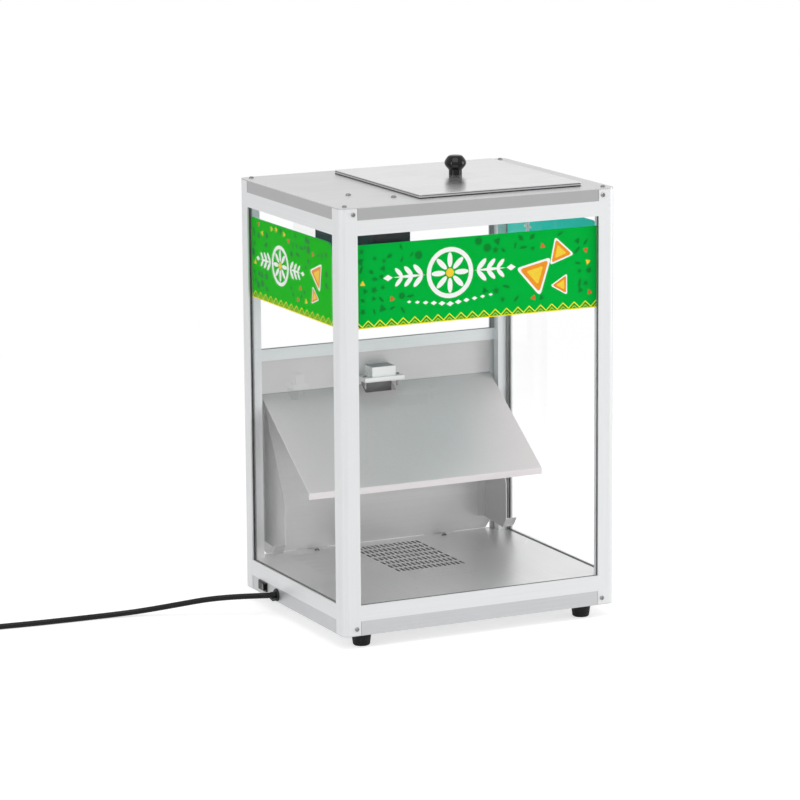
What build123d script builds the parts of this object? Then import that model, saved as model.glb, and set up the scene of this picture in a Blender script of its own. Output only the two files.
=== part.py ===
"""A counter-top chip warmer: an extruded frame glazed on four sides, with a loose lid on top, a tilting
flap at the back, and a fan and heater under a slotted floor. Millimetres, +Z up, front towards -Y.
The body is drawn from its own underside at z = 0, and every piece is lifted by the feet when it is saved."""

import os
from math import cos, dist, pi, radians, sin, tan

from build123d import *

# ---------------------------------------------------------------- driving dimensions
WIDTH = 440.0          # over the outer faces of the posts, left to right
DEPTH = 352.0          # over the outer faces of the posts, front to back
HEIGHT = 620.0         # underside of the pan to the top of the cover
SHEET = 1.0            # pan, cover and lid
FOLDED = 1.2           # deflector, flap and floor plate
X = WIDTH / 2
Y = DEPTH / 2
TOP = HEIGHT - SHEET   # top of the posts and underside of the cover

# clearances
TOUCH_GAP = 0.3        # between pieces that move past each other
RUNNING_FIT = 0.05     # radial, a pin or shaft in its bore
SCREW_FIT = 0.2        # radial, a screw in a clearance hole
THREAD_FIT = 0.05      # radial, a screw in a threaded hole
FRONT_GAP = 0.5        # skirts beside the posts
BACK_GAP = 1.5         # side skirts beside the back posts
SIDE_GAP = 0.6         # folded sheets between the posts
CARD_GAP = 0.4         # printed cards behind the glass
NOTCH_GAP = 0.3        # floor plate round the posts

# posts
POST = 27.0            # square outside
POST_RADIUS = 9.0      # rounded outer corner
POST_CORE = 22.0       # the inner body stops short of the outer lips
LIP = 2.0              # outer lip over the glass
SLOT = 6.0             # glazing slot
GROOVE = LIP + SLOT    # inner side of the glazing slot
SLOT_FLOOR = 15.0      # how near the slots come to the outer corner
WALL = 1.8             # hollow extrusion walls
BORE = 4.2             # screw bore down the core
BOSS = 8.8
BORE_AT = 13.5
END_STEP = (0.8, 0.6)  # step round the top end, in and down: the dark line under the cover

# rails
PAN_TOP = 21.2         # top of the pan skirt, underside of the bottom rails
RAIL_LOW = 23.2        # height of the bottom rails
RAIL_HIGH = 21.7       # height of the top rails
SKIRT = 18.5           # skirt of the cover
RAIL_SLOT = 13.0       # height in the rail at which the glazing slot starts
RAIL_STEP = 1.6        # the rail's body stays this much below its lip, for the floor plate
BAR_Z = HEIGHT - 278.0 # underside of the middle rail
BAR_HEIGHT = 17.7
BAR_INNER = 1.6        # its inner lip
BAR_WEB = 3.5
TOP_RAIL_Z = HEIGHT - SKIRT - RAIL_HIGH
FLOOR_TOP = PAN_TOP + RAIL_LOW - RAIL_STEP + FOLDED
TAB_TALL = 12.0        # joggled end tabs of the skirts
TAB_BEND = 5.0         # their bend, past the inner face of the post

# screws: shank radius, head radius, head height
POST_SCREW = (2.05, 3.6, 2.2)
FACE_SCREW = (1.6, 3.2, 1.8)
PANEL_SCREW = (2.0, 4.0, 2.4)
CATCH_SCREW = (1.5, 3.0, 1.8)
FOOT_SCREW = (2.0, 4.2, 2.6)
KNOB_SCREW = (1.9, 4.0, 2.0)
HEAD_SLOPE = 0.45      # chamfer of a head, over its height
RECESS = 1.0           # width of the cross recess
RECESS_ARM = 0.6       # half its length, over the head's radius
RECESS_FLOOR = 0.55    # its floor, over the head's height
POST_SHANKS = (20.0, 16.0)  # through the cover and through the pan
FACE_SHANK = 6.0
PANEL_SHANK = 6.5
FACE_SCREW_IN = 20.5   # in from the outer corner
FACE_SCREW_Z = (10.0, HEIGHT - (SKIRT + SHEET) / 2)

# glass and cards
PANE = 3.0
PANE_IN = 3.5          # outer face of the glass behind the outer face of the frame
PANE_BITE = 10.0       # glass inside a post, past the lip
PANE_GRIP = 8.4        # glass inside a rail
BAR_GRIP = 5.5         # glass inside the middle rail
GASKET_BACK = 0.4      # gaskets stop this short of the lips
CARD = 1.0
CARD_Z = (HEIGHT - 175.0, HEIGHT - 55.0)
CARD_SIDE_Y = (-Y + 42.0, Y - POST)
CARD_CORNER = 14.0
CARD_END = 0.2         # front card beside the posts

# floor plate and its slots
FLOOR_EDGE = 8.0
FLOOR_BACK = 2.2
GRILLE = (0.0, Y - 108.5)  # its middle, which is also the middle of the fan
COLUMNS = 15
ROWS = 7
COLUMN_PITCH = 7.6
ROW_PITCH = 24.6
SLOT_WIDE = 4.2
SLOT_LONG = 18.0
FLOOR_SCREW_X = 107.5
FLOOR_SCREW_IN = 15.0  # in from the outer face of the back rail

# lid
LID_WIDE = 262.0
LID_DEEP = 288.0
LID_X = X - 38.0 - LID_WIDE / 2
LID_TALL = 5.7
LID_RADIUS = 3.0
LID_EDGE = 0.8         # rounding of its upper edge
COLLAR_IN = 5.0        # collar inside the lid's rim
COLLAR_TALL = 4.4
COLLAR_RADIUS = 4.0
KNOB_AT = (LID_X + 6.0, 16.0)
KNOB_HEAD = 32.4
KNOB_NECK = 19.6
KNOB_TALL = 29.0
KNOB_BORE = 12.0       # depth of its threaded hole

# deflector
FLANGE_IN = 2.2        # its flange behind the outer face of the middle rail
BEND_Z = BAR_Z - 51.0
BEND_R = 0.8           # inside radius of its two bends
FRONT_Y = 0.0          # where the slope ends
FRONT_Z = BAR_Z - 169.0
FRONT_LIP = 9.3
LEDGE_WIDE = 65.0      # ledge under the catch
LEDGE_Z = BEND_Z + 8.0
LEDGE_FRONT = Y - 34.5
WINDOW_WIDE = 51.0     # opening in the slope under the ledge
WINDOW_FRONT = Y - 18.5

# catch
CATCH_WIDE = 39.0
CATCH_BASE = 66.0
CATCH_Z = (LEDGE_Z + FOLDED, LEDGE_Z + 6.5, LEDGE_Z + 22.0)  # base, body and top
CATCH_Y = (Y - 30.0, Y - 3.6)
BASE_FRONT = 3.5       # base in front of the body
CATCH_WALL = 3.0
CATCH_FRONT = 8.0      # wall in front of the magnet
CATCH_ROOF = 4.0
CATCH_SCREW_AT = (27.0, Y - 20.5)
CATCH_SHANK = 18.8
CATCH_EDGE = 1.5
CATCH_NUT = (3.2, 2.4)
POLE = 1.6
POLE_IN = 1.2          # pole plates from the floor of the pocket

# flap
FLAP_Z = (PAN_TOP + RAIL_LOW + 0.6, LEDGE_Z + 19.0)
FLAP_CUT = (7.0, 9.5)  # its lower corners, across and up
FLAP_LIP = 6.0         # how far its top edge leans out
LIP_RISE = 4.0
WING_X = X - POST - 6.9    # outer face of a wing
WING_FRONT = Y - 72.5
WING_Z = (58.0, 130.0, LEDGE_Z - 22.0)
WING_ROOT = 63.0       # its lower edge at the panel
WING_WELD = 12.0
STOP_LUG = 17.0
LUG_LEAN = 36.0        # the lug leans this far from upright
LUG_CORNER = 5.0
HINGE_X = 108.0
HINGE_WIDE = 50.0
HINGE_Z = 41.0
HINGE_R = 3.0
PIN_R = 1.25
LEAF = 1.5
LEAF_TALL = 34.0       # top of the moving leaf above the pin
LEAF_RISE = 4.0        # its lower edge above the barrel
AXIS_Y = Y + HINGE_R + 0.4
FLAP_OPEN = 48.0

# base
FOOT_TALL = 21.0
FOOT_TOP = 30.0
FOOT_END = 24.6
FOOT_EDGE = 1.5
FOOT_IN = (40.5, 28.5)
FOOT_WEB = 6.0         # rubber over the screw head
FOOT_POCKET = 5.5
FOOT_NUT = (4.0, 3.2)
INLET_SLOTS = 11
INLET_PITCH = 9.0
INLET_WIDE = 4.4
INLET_R = 48.0
FAN = 119.0
FAN_TALL = 25.0
FAN_BORE = 113.0
FAN_RADIUS = 6.0
HUB = 38.0
HUB_SEAT = 5.0
SPOKE = (5.0, 4.0)
SHAFT = (2.5, 4.0)     # radius, height above the seat
BLADES = 7
BLADE = (22.0, 1.6, 38.0)  # width, thickness and pitch in degrees
BLADE_GAP = 2.0        # blade tips inside the fan's bore
DUCT_WALL = 1.0
ELEMENT_R = 3.2
ELEMENT_ROWS = (-36.0, 0.0, 36.0)
ELEMENT_BEND = 9.0
ELEMENT_OUT = 6.0      # terminals past the duct
THERMOSTAT = (32.0, 26.0, 22.0)
THERMOSTAT_AT = (-X + 86.0, Y - 73.0)
THERMOSTAT_EDGE = 3.0
DIAL = (8.0, 5.0)
TERMINALS = (38.0, 16.0, 13.0)
TERMINALS_AT = (-X + 89.0, Y - 138.0)
TERMINAL_PITCH = 12.0
TERMINAL_R = 2.5

# switch and gland in the left skirt
SWITCH_Y = Y - 67.0
SWITCH_Z = 13.5
SWITCH_LONG = 29.0
SWITCH_TALL = 14.0
SWITCH_RIM = 1.2       # bezel past the body
SWITCH_WALL = 0.8
SWITCH_DEEP = 20.0
SWITCH_WELL = 8.0      # depth of the rocker's well
BEZEL = 2.0
SWITCH_TAG = (0.8, 6.0, 8.0)   # terminals: thickness, width, length
ROCK = 7.0             # rocker either side of level
ROCKER_OUT = 7.0       # its face from the pivot
PIVOT_IN = 3.0
PIVOT_R = 1.2
GLAND_Y = Y - 116.0
GLAND_Z = 10.5
GLAND_FLANGE = (9.5, 2.6)
GLAND_COLLAR = (5.3, 10.0)
GLAND_JAW = (8.8, 7.5)
GLAND_BODY = (6.1, 12.0)
GLAND_NUT = (8.4, 4.0)
CORD_R = 4.25

# mains lead: from the gland back and down to the surface, as heights above that surface
CORD_X = -X - 8.0
CORD_ROUTE = [(0, 0, 31.5), (-22, 6, 32), (-53, 24, 30), (-86, 41, 26.5), (-118, 59, 19.5), (-149, 77, 12.5),
              (-183, 93, 6.5), (-226, 101, 4.3), (-284, 103.5, 4.3), (-342, 107, 4.3), (-394, 113, 4.3),
              (-430, 115, 4.3), (-462, 115, 4.3)]
COIL_START = 10.0      # straight before the first turn
COIL_R = 56.0          # outermost turn of each layer, at mid cord
COIL_PITCH = 9.3       # from turn to turn
COIL_HALF_TURNS = 4    # in the lower layer
CLIMB_R = 38.1
LAYER = 9.2
TAIL = 40.0            # straight run from the coil to the plug
RELIEF = (26.0, 0.8, 3.0)  # tapered relief: length, and how much wider than the lead at its two ends
PLUG = (25.0, 34.0, 26.0)
PLUG_EDGE = 3.0
PIN_BLADE = (1.5, 6.3, 17.5)
PIN_APART = 6.35       # blades either side of the middle
PIN_UP = 3.65
EARTH = (2.4, 20.0, 7.0)   # radius, length and drop

# lamp
LAMP_X = (-X + 58.0, -X + 120.0)
LAMP_Y = (-Y + 22.5, -Y + 211.0)
LAMP_Z = HEIGHT - 80.0
LAMP_SCREWS = [(-X + 66.0, -Y + 113.0), (-X + 115.0, -Y + 65.0)]
DIFFUSER = 2.0
TUBE = (9.0, 140.0, 45.0)  # radius, length and height above the diffuser
CLIP = (12.0, 6.0, 32.0)   # half width, thickness and underside above the diffuser
CLIP_AT = 69.0

SAVED = []


# ---------------------------------------------------------------- small helpers
def block(x0, x1, y0, y1, z0, z1):
    """A box from its two opposite corners."""
    return Pos((x0 + x1) / 2, (y0 + y1) / 2, (z0 + z1) / 2) * Box(abs(x1 - x0), abs(y1 - y0), abs(z1 - z0))


def about(middle, size, z0):
    """A box standing at z0, from the middle of its plan and its three sizes."""
    x, y = middle
    wide, deep, tall = size
    return block(x - wide / 2, x + wide / 2, y - deep / 2, y + deep / 2, z0, z0 + tall)


def rod(x, y, z0, z1, r):
    """An upright cylinder."""
    return Pos(x, y, (z0 + z1) / 2) * Cylinder(r, z1 - z0)


def along(axis, at, length, r):
    """A cylinder centred on a point and lying along X or Y."""
    turn = Rot(0, 90, 0) if axis == "x" else Rot(90, 0, 0)
    return Pos(*at) * turn * Cylinder(r, length)


def flip_x(shape):
    return mirror(shape, about=Plane.YZ)


def flip_y(shape):
    return mirror(shape, about=Plane.XZ)


def four(shape):
    """The same piece at all four corners."""
    pair = [shape, flip_x(shape)]
    return pair + [flip_y(s) for s in pair]


def drawn(points):
    """A face from its corner points."""
    return make_face(Polyline(*points, close=True))


def rounded_at(face, corner, r):
    """The same face with one corner rounded."""
    return fillet(face.vertices().sort_by_distance((*corner, 0))[0], r)


def yz_plate(face, x0, x1):
    """A face drawn in (y, z), extruded between two x."""
    return extrude(Plane.YZ.offset(x0) * face, x1 - x0)


def solids_of(shapes):
    """Every solid in a list of shapes."""
    return [s for shape in shapes for s in shape.solids()]


def save(name, *shapes):
    """Lift a node onto its feet and write it."""
    lifted = [Pos(0, 0, FOOT_TALL) * s for s in solids_of(shapes)]
    node = lifted[0] if len(lifted) == 1 else Compound(children=lifted)
    export_step(node, f"parts/{name}.step")
    SAVED.append(name)


def screw(kind, at, shank, up=1):
    """A cross-recessed pan-head screw along Z: its head stands on the surface at the given point."""
    r, head_r, head = kind
    cap = rod(0, 0, 0, head, head_r)
    cap = chamfer(cap.edges().group_by(Axis.Z)[-1], head * HEAD_SLOPE)
    arm = 2 * head_r * RECESS_ARM
    floor = head * RECESS_FLOOR
    cross = about((0, 0), (arm, RECESS, head), floor) + about((0, 0), (RECESS, arm, head), floor)
    piece = cap + rod(0, 0, -shank, 0, r) - cross
    return Pos(*at) * (piece if up > 0 else Rot(180, 0, 0) * piece)


def screw_hole(kind, x, y, z0, z1, fit=SCREW_FIT):
    """The hole for a kind of screw."""
    return rod(x, y, z0, z1, kind[0] + fit)


def nut(kind, size, x, y, z):
    """A hexagonal nut for a kind of screw, standing at z."""
    wide, tall = size
    body = Pos(x, y, z) * extrude(RegularPolygon(wide, 6), tall)
    return body - screw_hole(kind, x, y, z - 1, z + tall + 1, THREAD_FIT)


# ---------------------------------------------------------------- extruded frame
def post_section():
    """Outline of the post, with its outer corner at the origin."""
    half = [(POST, 0), (POST, LIP), (SLOT_FLOOR, LIP), (SLOT_FLOOR, GROOVE), (POST_CORE, GROOVE)]
    other = [(y, x) for x, y in reversed(half)]
    outline = rounded_at(drawn([(0, 0)] + half + [(POST_CORE, POST_CORE)] + other), (0, 0), POST_RADIUS)
    hollow = SLOT_FLOOR - 2 * WALL
    corner = Rectangle(hollow - WALL, hollow - WALL, align=(Align.MIN, Align.MIN))
    corner = rounded_at(corner, (0, 0), POST_RADIUS - WALL)
    core = POST_CORE - GROOVE - 2 * WALL
    inner = Pos(GROOVE + WALL, GROOVE + WALL) * Rectangle(core, core, align=(Align.MIN, Align.MIN))
    boss = Pos(BORE_AT, BORE_AT) * Circle(BOSS / 2)
    return outline - (Pos(WALL, WALL) * corner + inner - boss) - Pos(BORE_AT, BORE_AT) * Circle(BORE / 2)


def end_step():
    """The material turned off round the top end of the front left post."""
    inward, down = END_STEP
    wide = 2 * (POST + 1)
    corner = Pos(-X + inward + wide / 2, -Y + inward + wide / 2)
    keep = corner * RectangleRounded(wide, wide, POST_RADIUS - inward)
    around = Pos(-X + wide / 4, -Y + wide / 4) * Rectangle(wide, wide)
    return extrude(Plane.XY.offset(TOP - down) * (around - keep), 2 * down)


def posts():
    """The front left post; the other three are its mirror images."""
    section = Plane.XY.offset(SHEET) * (Pos(-X, -Y) * post_section())
    post = extrude(section, TOP - SHEET) - end_step()
    for z in FACE_SCREW_Z:
        post -= along("y", (-X + FACE_SCREW_IN, -Y, z), 2 * GROOVE, FACE_SCREW[0] + SCREW_FIT)
    return four(post)


def rail_outline(height):
    """(depth, height) points of a glazing rail with its slot at the top."""
    body = height - RAIL_STEP
    outer = [(0, 0), (POST_CORE, 0), (POST_CORE, body), (GROOVE, body)]
    return outer + [(GROOVE, RAIL_SLOT), (LIP, RAIL_SLOT), (LIP, height), (0, height)]


def rail_hollow(height):
    """The hollow of the same rail."""
    wall = GROOVE + WALL
    low = RAIL_SLOT - WALL
    body = height - RAIL_STEP - WALL
    inner = [(WALL, WALL), (POST_CORE - WALL, WALL), (POST_CORE - WALL, body)]
    return inner + [(wall, body), (wall, low), (WALL, low)]


def rail(face, half, height, upside_down=False):
    """A rail along X whose outer face lies at y = -face, cut back to pass between the posts' lips."""
    outline = drawn(rail_outline(height)) - drawn(rail_hollow(height))
    if upside_down:
        outline = Pos(0, height) * mirror(outline, about=Plane.XZ)
    long = half - POST_CORE
    body = yz_plate(Pos(-face, 0) * outline, -long, long)
    notch = block(half - POST, half, -face - 1, -face + GROOVE, -1, height + 1)
    return body - notch - flip_x(notch)


def four_rails(height, z, upside_down=False):
    """Front, back, left and right rails at one height."""
    front = Pos(0, 0, z) * rail(Y, X, height, upside_down)
    left = Pos(0, 0, z) * (Rot(0, 0, -90) * rail(X, Y, height, upside_down))
    return front, flip_y(front), left, flip_x(left)


def middle_rail():
    """The H-shaped bar across the back, with the upper pane above it and the deflector below."""
    web = (BAR_HEIGHT - BAR_WEB) / 2
    deep = GROOVE + BAR_INNER
    lower = [(0, 0), (LIP, 0), (LIP, web), (GROOVE, web), (GROOVE, 0), (deep, 0)]
    upper = [(y, BAR_HEIGHT - z) for y, z in reversed(lower)]
    long = X - POST_CORE
    bar = yz_plate(Pos(-Y, BAR_Z) * drawn(lower + upper), -long, long)
    notch = block(X - POST, X, -Y - 1, -Y + GROOVE, BAR_Z - 1, BAR_Z + BAR_HEIGHT + 1)
    return flip_y(bar - notch - flip_x(notch))


def skirt_tabs(z):
    """Joggled end tabs that reach behind the lips of the posts, on the front and the back."""
    low = z - TAB_TALL / 2
    high = z + TAB_TALL / 2
    bend = -X + POST + TAB_BEND
    tab = block(-X + SLOT_FLOOR + 1, bend, -Y + LIP, -Y + LIP + SHEET, low, high)
    web = block(bend - 2 * SHEET, bend, -Y, -Y + LIP, low, high)
    hole = along("y", (-X + FACE_SCREW_IN, -Y + LIP, z), 6 * SHEET, FACE_SCREW[0] + THREAD_FIT)
    return four(tab + web - hole)


def tray(z0, z1, plate_z):
    """A plate over the full plan with rounded corners, and a skirt between the posts."""
    plate = extrude(Plane.XY.offset(plate_z) * RectangleRounded(WIDTH, DEPTH, POST_RADIUS), SHEET)
    end_x = X - POST - FRONT_GAP
    front = block(-end_x, end_x, -Y, -Y + SHEET, z0, z1)
    left = block(-X, -X + SHEET, -Y + POST + FRONT_GAP, Y - POST - BACK_GAP, z0, z1)
    return plate + front + flip_y(front) + left + flip_x(left)


def post_holes(z):
    """Clearance holes over the bores of the posts."""
    return four(screw_hole(POST_SCREW, -X + BORE_AT, -Y + BORE_AT, z - SHEET, z + 2 * SHEET))


def inlet():
    """Slots under the fan, within a circle."""
    x0, y0 = GRILLE
    slots = []
    for n in range(INLET_SLOTS):
        x = (n - (INLET_SLOTS - 1) / 2) * INLET_PITCH
        reach = (INLET_R ** 2 - x ** 2) ** 0.5
        slots.append(about((x0 + x, y0), (INLET_WIDE, 2 * reach, 3 * SHEET), -SHEET))
    return slots


def base_pan():
    """The bottom tray: skirt, foot holes, air inlet, and openings for the switch and the gland."""
    pan = tray(0, PAN_TOP, 0)
    for tab in skirt_tabs(FACE_SCREW_Z[0]):
        pan += tab
    switch_long = SWITCH_LONG / 2 - SWITCH_RIM + SCREW_FIT
    switch_tall = SWITCH_TALL / 2 - SWITCH_RIM + SCREW_FIT
    cuts = post_holes(0) + inlet()
    cuts += four(screw_hole(FOOT_SCREW, -X + FOOT_IN[0], -Y + FOOT_IN[1], -SHEET, 2 * SHEET))
    cuts.append(block(-X - 1, -X + 2 * SHEET, SWITCH_Y - switch_long, SWITCH_Y + switch_long,
                      SWITCH_Z - switch_tall, SWITCH_Z + switch_tall))
    cuts.append(along("x", (-X, GLAND_Y, GLAND_Z), 4 * SHEET, GLAND_BODY[0] + THREAD_FIT))
    for cut in cuts:
        pan -= cut
    return pan


def top_cover():
    """The top tray, with an upstanding collar round the lid opening."""
    cover = tray(HEIGHT - SKIRT, HEIGHT, TOP)
    for tab in skirt_tabs(FACE_SCREW_Z[1]):
        cover += tab
    wide = LID_WIDE - 2 * (SHEET + COLLAR_IN)
    deep = LID_DEEP - 2 * (SHEET + COLLAR_IN)
    outer = RectangleRounded(wide, deep, COLLAR_RADIUS)
    inner = RectangleRounded(wide - 2 * SHEET, deep - 2 * SHEET, COLLAR_RADIUS - SHEET)
    collar = extrude(Plane.XY.offset(TOP) * (Pos(LID_X, 0) * outer), SHEET + COLLAR_TALL)
    hole = extrude(Plane.XY.offset(TOP - SHEET) * (Pos(LID_X, 0) * inner), COLLAR_TALL + 3 * SHEET)
    cover = cover + collar - hole
    for cut in post_holes(TOP) + [screw_hole(PANEL_SCREW, x, y, TOP - 1, HEIGHT + 1) for x, y in LAMP_SCREWS]:
        cover -= cut
    return cover


# ---------------------------------------------------------------- glass, gaskets and cards
PANE_LOW = PAN_TOP + RAIL_LOW - PANE_GRIP
PANE_HIGH = TOP_RAIL_Z + PANE_GRIP


def pane_front():
    reach = X - POST + PANE_BITE
    return block(-reach, reach, -Y + PANE_IN, -Y + PANE_IN + PANE, PANE_LOW, PANE_HIGH)


def pane_left():
    reach = Y - POST + PANE_BITE
    return block(-X + PANE_IN, -X + PANE_IN + PANE, -reach, reach, PANE_LOW, PANE_HIGH)


def pane_back():
    reach = X - POST + PANE_BITE
    return block(-reach, reach, Y - PANE_IN - PANE, Y - PANE_IN, BAR_Z + BAR_HEIGHT - BAR_GRIP, PANE_HIGH)


def gaskets():
    """Rubber channels that fill the slots round each pane."""
    low = PAN_TOP + RAIL_SLOT
    high = HEIGHT - SKIRT - RAIL_SLOT
    lip_low = PAN_TOP + RAIL_LOW - GASKET_BACK
    lip_high = TOP_RAIL_Z + GASKET_BACK
    bar_lip = BAR_Z + BAR_HEIGHT - GASKET_BACK
    bar_low = BAR_Z + (BAR_HEIGHT + BAR_WEB) / 2
    end = POST - GASKET_BACK
    x = X - POST
    y = Y - POST
    front_post = block(-X + SLOT_FLOOR, -X + end, -Y + LIP, -Y + GROOVE, low, high)
    side_post = block(-X + LIP, -X + GROOVE, -Y + SLOT_FLOOR, -Y + end, low, high)
    back_post = block(-X + SLOT_FLOOR, -X + end, Y - GROOVE, Y - LIP, bar_low, high)
    front_low = block(-x, x, -Y + LIP, -Y + GROOVE, low, lip_low)
    front_high = block(-x, x, -Y + LIP, -Y + GROOVE, lip_high, high)
    side_low = block(-X + LIP, -X + GROOVE, -y, y, low, lip_low)
    side_high = block(-X + LIP, -X + GROOVE, -y, y, lip_high, high)
    back_low = block(-x, x, Y - GROOVE, Y - LIP, bar_low, bar_lip)
    front = [g - pane_front() for g in (front_post, flip_x(front_post), front_low, front_high)]
    left = [g - pane_left() for g in (side_post, flip_y(side_post), side_low, side_high)]
    back = [g - pane_back() for g in (back_post, flip_x(back_post), back_low, flip_y(front_high))]
    return front + left + [flip_x(g) for g in left] + back


def banners():
    """Printed cards behind the glass: one across the front and one on each side, round at the top front."""
    face = PANE_IN + PANE + CARD_GAP
    reach = X - POST - CARD_END
    front = block(-reach, reach, -Y + face, -Y + face + CARD, *CARD_Z)
    side = block(-X + face, -X + face + CARD, *CARD_SIDE_Y, *CARD_Z)
    corner = side.edges().filter_by(Axis.X).sort_by_distance((-X, CARD_SIDE_Y[0], CARD_Z[1]))[0]
    side = fillet(corner, CARD_CORNER)
    return front, side, flip_x(side)


# ---------------------------------------------------------------- floor plate, lid and deflector
def floor_plate():
    """The slotted floor: notched round the posts, with rows of long slots over the heater."""
    z0 = FLOOR_TOP - FOLDED
    z1 = FLOOR_TOP + 1
    core = POST_CORE + NOTCH_GAP
    back = block(-X, -X + POST + NOTCH_GAP, Y - GROOVE, Y, z0 - 1, z1)
    plate = block(-X + FLOOR_EDGE, X - FLOOR_EDGE, -Y + FLOOR_EDGE, Y - FLOOR_BACK, z0, FLOOR_TOP)
    for notch in four(block(-X, -X + core, -Y, -Y + core, z0 - 1, z1)) + [back, flip_x(back)]:
        plate -= notch
    places = GridLocations(COLUMN_PITCH, ROW_PITCH, COLUMNS, ROWS)
    slot = about(GRILLE, (SLOT_WIDE, SLOT_LONG, 3 * FOLDED), z0 - FOLDED)
    plate -= [place * slot for place in places]
    for x in (-FLOOR_SCREW_X, FLOOR_SCREW_X):
        plate -= screw_hole(PANEL_SCREW, x, Y - FLOOR_SCREW_IN, z0 - 1, z1)
    return plate


LID_Z = HEIGHT + TOUCH_GAP


def lid():
    """A loose folded tray over the collar."""
    outer = Pos(LID_X, 0) * RectangleRounded(LID_WIDE, LID_DEEP, LID_RADIUS)
    inner = Pos(LID_X, 0) * RectangleRounded(LID_WIDE - 2 * SHEET, LID_DEEP - 2 * SHEET, LID_RADIUS - SHEET)
    shell = extrude(Plane.XY.offset(LID_Z) * outer, LID_TALL)
    shell = fillet(shell.edges().group_by(Axis.Z)[-1], LID_EDGE)
    shell -= extrude(Plane.XY.offset(LID_Z) * inner, LID_TALL - SHEET)
    return shell - screw_hole(KNOB_SCREW, *KNOB_AT, LID_Z, LID_Z + LID_TALL + 1)


def lid_knob():
    """A ball-headed knob with a threaded core."""
    neck = KNOB_NECK / 2
    head = KNOB_HEAD / 2
    foot_line = Line((0, 0), (neck, 0)) + Line((neck, 0), (neck, KNOB_TALL * 0.23))
    waist = (neck + (head - neck) * 0.68, KNOB_TALL * 0.42)
    side = Spline((neck, KNOB_TALL * 0.23), waist, (head, KNOB_TALL * 0.60), (head * 0.78, KNOB_TALL * 0.86),
                  (0, KNOB_TALL), tangents=((0.5, 0.86), (-1, 0)))
    close = Line((0, KNOB_TALL), (0, 0))
    knob = revolve(make_face(Plane.XZ * (foot_line + side + close)), Axis.Z)
    knob -= screw_hole(KNOB_SCREW, 0, 0, -1, KNOB_BORE, THREAD_FIT)
    return Pos(*KNOB_AT, LID_Z + LID_TALL) * knob


def lid_screw():
    """The screw that holds the knob from under the lid."""
    return screw(KNOB_SCREW, (*KNOB_AT, LID_Z + LID_TALL - SHEET), KNOB_BORE - 1, up=-1)


def slope(y):
    """Height of the deflector's upper face at a given y."""
    run = Y - FLANGE_IN - FOLDED - FRONT_Y
    return FRONT_Z + (BEND_Z - FRONT_Z) * (y - FRONT_Y) / run


def deflector_profile():
    """(y, z) outline of the folded sheet: flange, slope and front lip, with rounded bends."""
    back = Y - FLANGE_IN
    inner = back - FOLDED
    angle = (BEND_Z - FRONT_Z) / (inner - FRONT_Y)
    drop = FOLDED * (1 + angle * angle) ** 0.5 - FOLDED * angle
    top = BAR_Z + (BAR_HEIGHT - BAR_WEB) / 2 - RUNNING_FIT
    under = (FRONT_Y + FOLDED, FRONT_Z - drop)
    outside = (back, BEND_Z - drop)
    face = drawn([(inner, top), (inner, BEND_Z), (FRONT_Y, FRONT_Z), (FRONT_Y, FRONT_Z - FRONT_LIP),
                  (FRONT_Y + FOLDED, FRONT_Z - FRONT_LIP), under, outside, (back, top)])
    for corner in ((inner, BEND_Z), under):
        face = rounded_at(face, corner, BEND_R)
    for corner in ((FRONT_Y, FRONT_Z), outside):
        face = rounded_at(face, corner, BEND_R + FOLDED)
    return face


def deflector():
    """The folded sheet with the ledge for the catch, the window under it and the catch's opening."""
    back = Y - FLANGE_IN
    reach = X - POST - SIDE_GAP
    half = WINDOW_WIDE / 2
    pocket = CATCH_WIDE / 2 - CATCH_WALL + 1
    sheet = yz_plate(deflector_profile(), -reach, reach)
    sheet -= block(-half, half, WINDOW_FRONT, back + 1, slope(WINDOW_FRONT) - 9, LEDGE_Z)
    sheet += block(-LEDGE_WIDE / 2, LEDGE_WIDE / 2, LEDGE_FRONT, back, LEDGE_Z, LEDGE_Z + FOLDED)
    sheet -= block(-pocket, pocket, back - 2 * FOLDED, back + 1, CATCH_Z[1] + 1, CATCH_Z[2] - 2)
    x, y = CATCH_SCREW_AT
    for side in (-x, x):
        sheet -= screw_hole(CATCH_SCREW, side, y, LEDGE_Z - 1, LEDGE_Z + FOLDED + 1)
    return sheet


# ---------------------------------------------------------------- catch
def catch_housing():
    """A wide base with the magnet's housing on it, open at the back."""
    half = CATCH_WIDE / 2
    low, mid, high = CATCH_Z
    front, back = CATCH_Y
    base = block(-CATCH_BASE / 2, CATCH_BASE / 2, front - BASE_FRONT, back, low, mid)
    body = block(-half, half, front, back, low, high)
    body = fillet(body.edges().filter_by(Axis.Y).group_by(Axis.Z)[-1], CATCH_EDGE)
    inside = half - CATCH_WALL
    housing = base + body - block(-inside, inside, front + CATCH_FRONT, back + 1, mid, high - CATCH_ROOF)
    for x in (-CATCH_SCREW_AT[0], CATCH_SCREW_AT[0]):
        housing -= screw_hole(CATCH_SCREW, x, CATCH_SCREW_AT[1], low - 1, mid + 1)
    return housing


def catch_inside():
    """The magnet between its two pole plates, which reach through to the flap."""
    half = CATCH_WIDE / 2 - CATCH_WALL - TOUCH_GAP
    front, back = CATCH_Y
    contact = Y - FOLDED - TOUCH_GAP
    lower = CATCH_Z[1] + POLE_IN
    upper = CATCH_Z[2] - CATCH_ROOF - POLE
    wall = front + CATCH_FRONT
    poles = [block(-half, half, wall, contact, z0, z0 + POLE) for z0 in (lower, upper)]
    magnet = block(-half + 1, half - 1, wall + 1, back - 1, lower + POLE, upper)
    return magnet, poles


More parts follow.
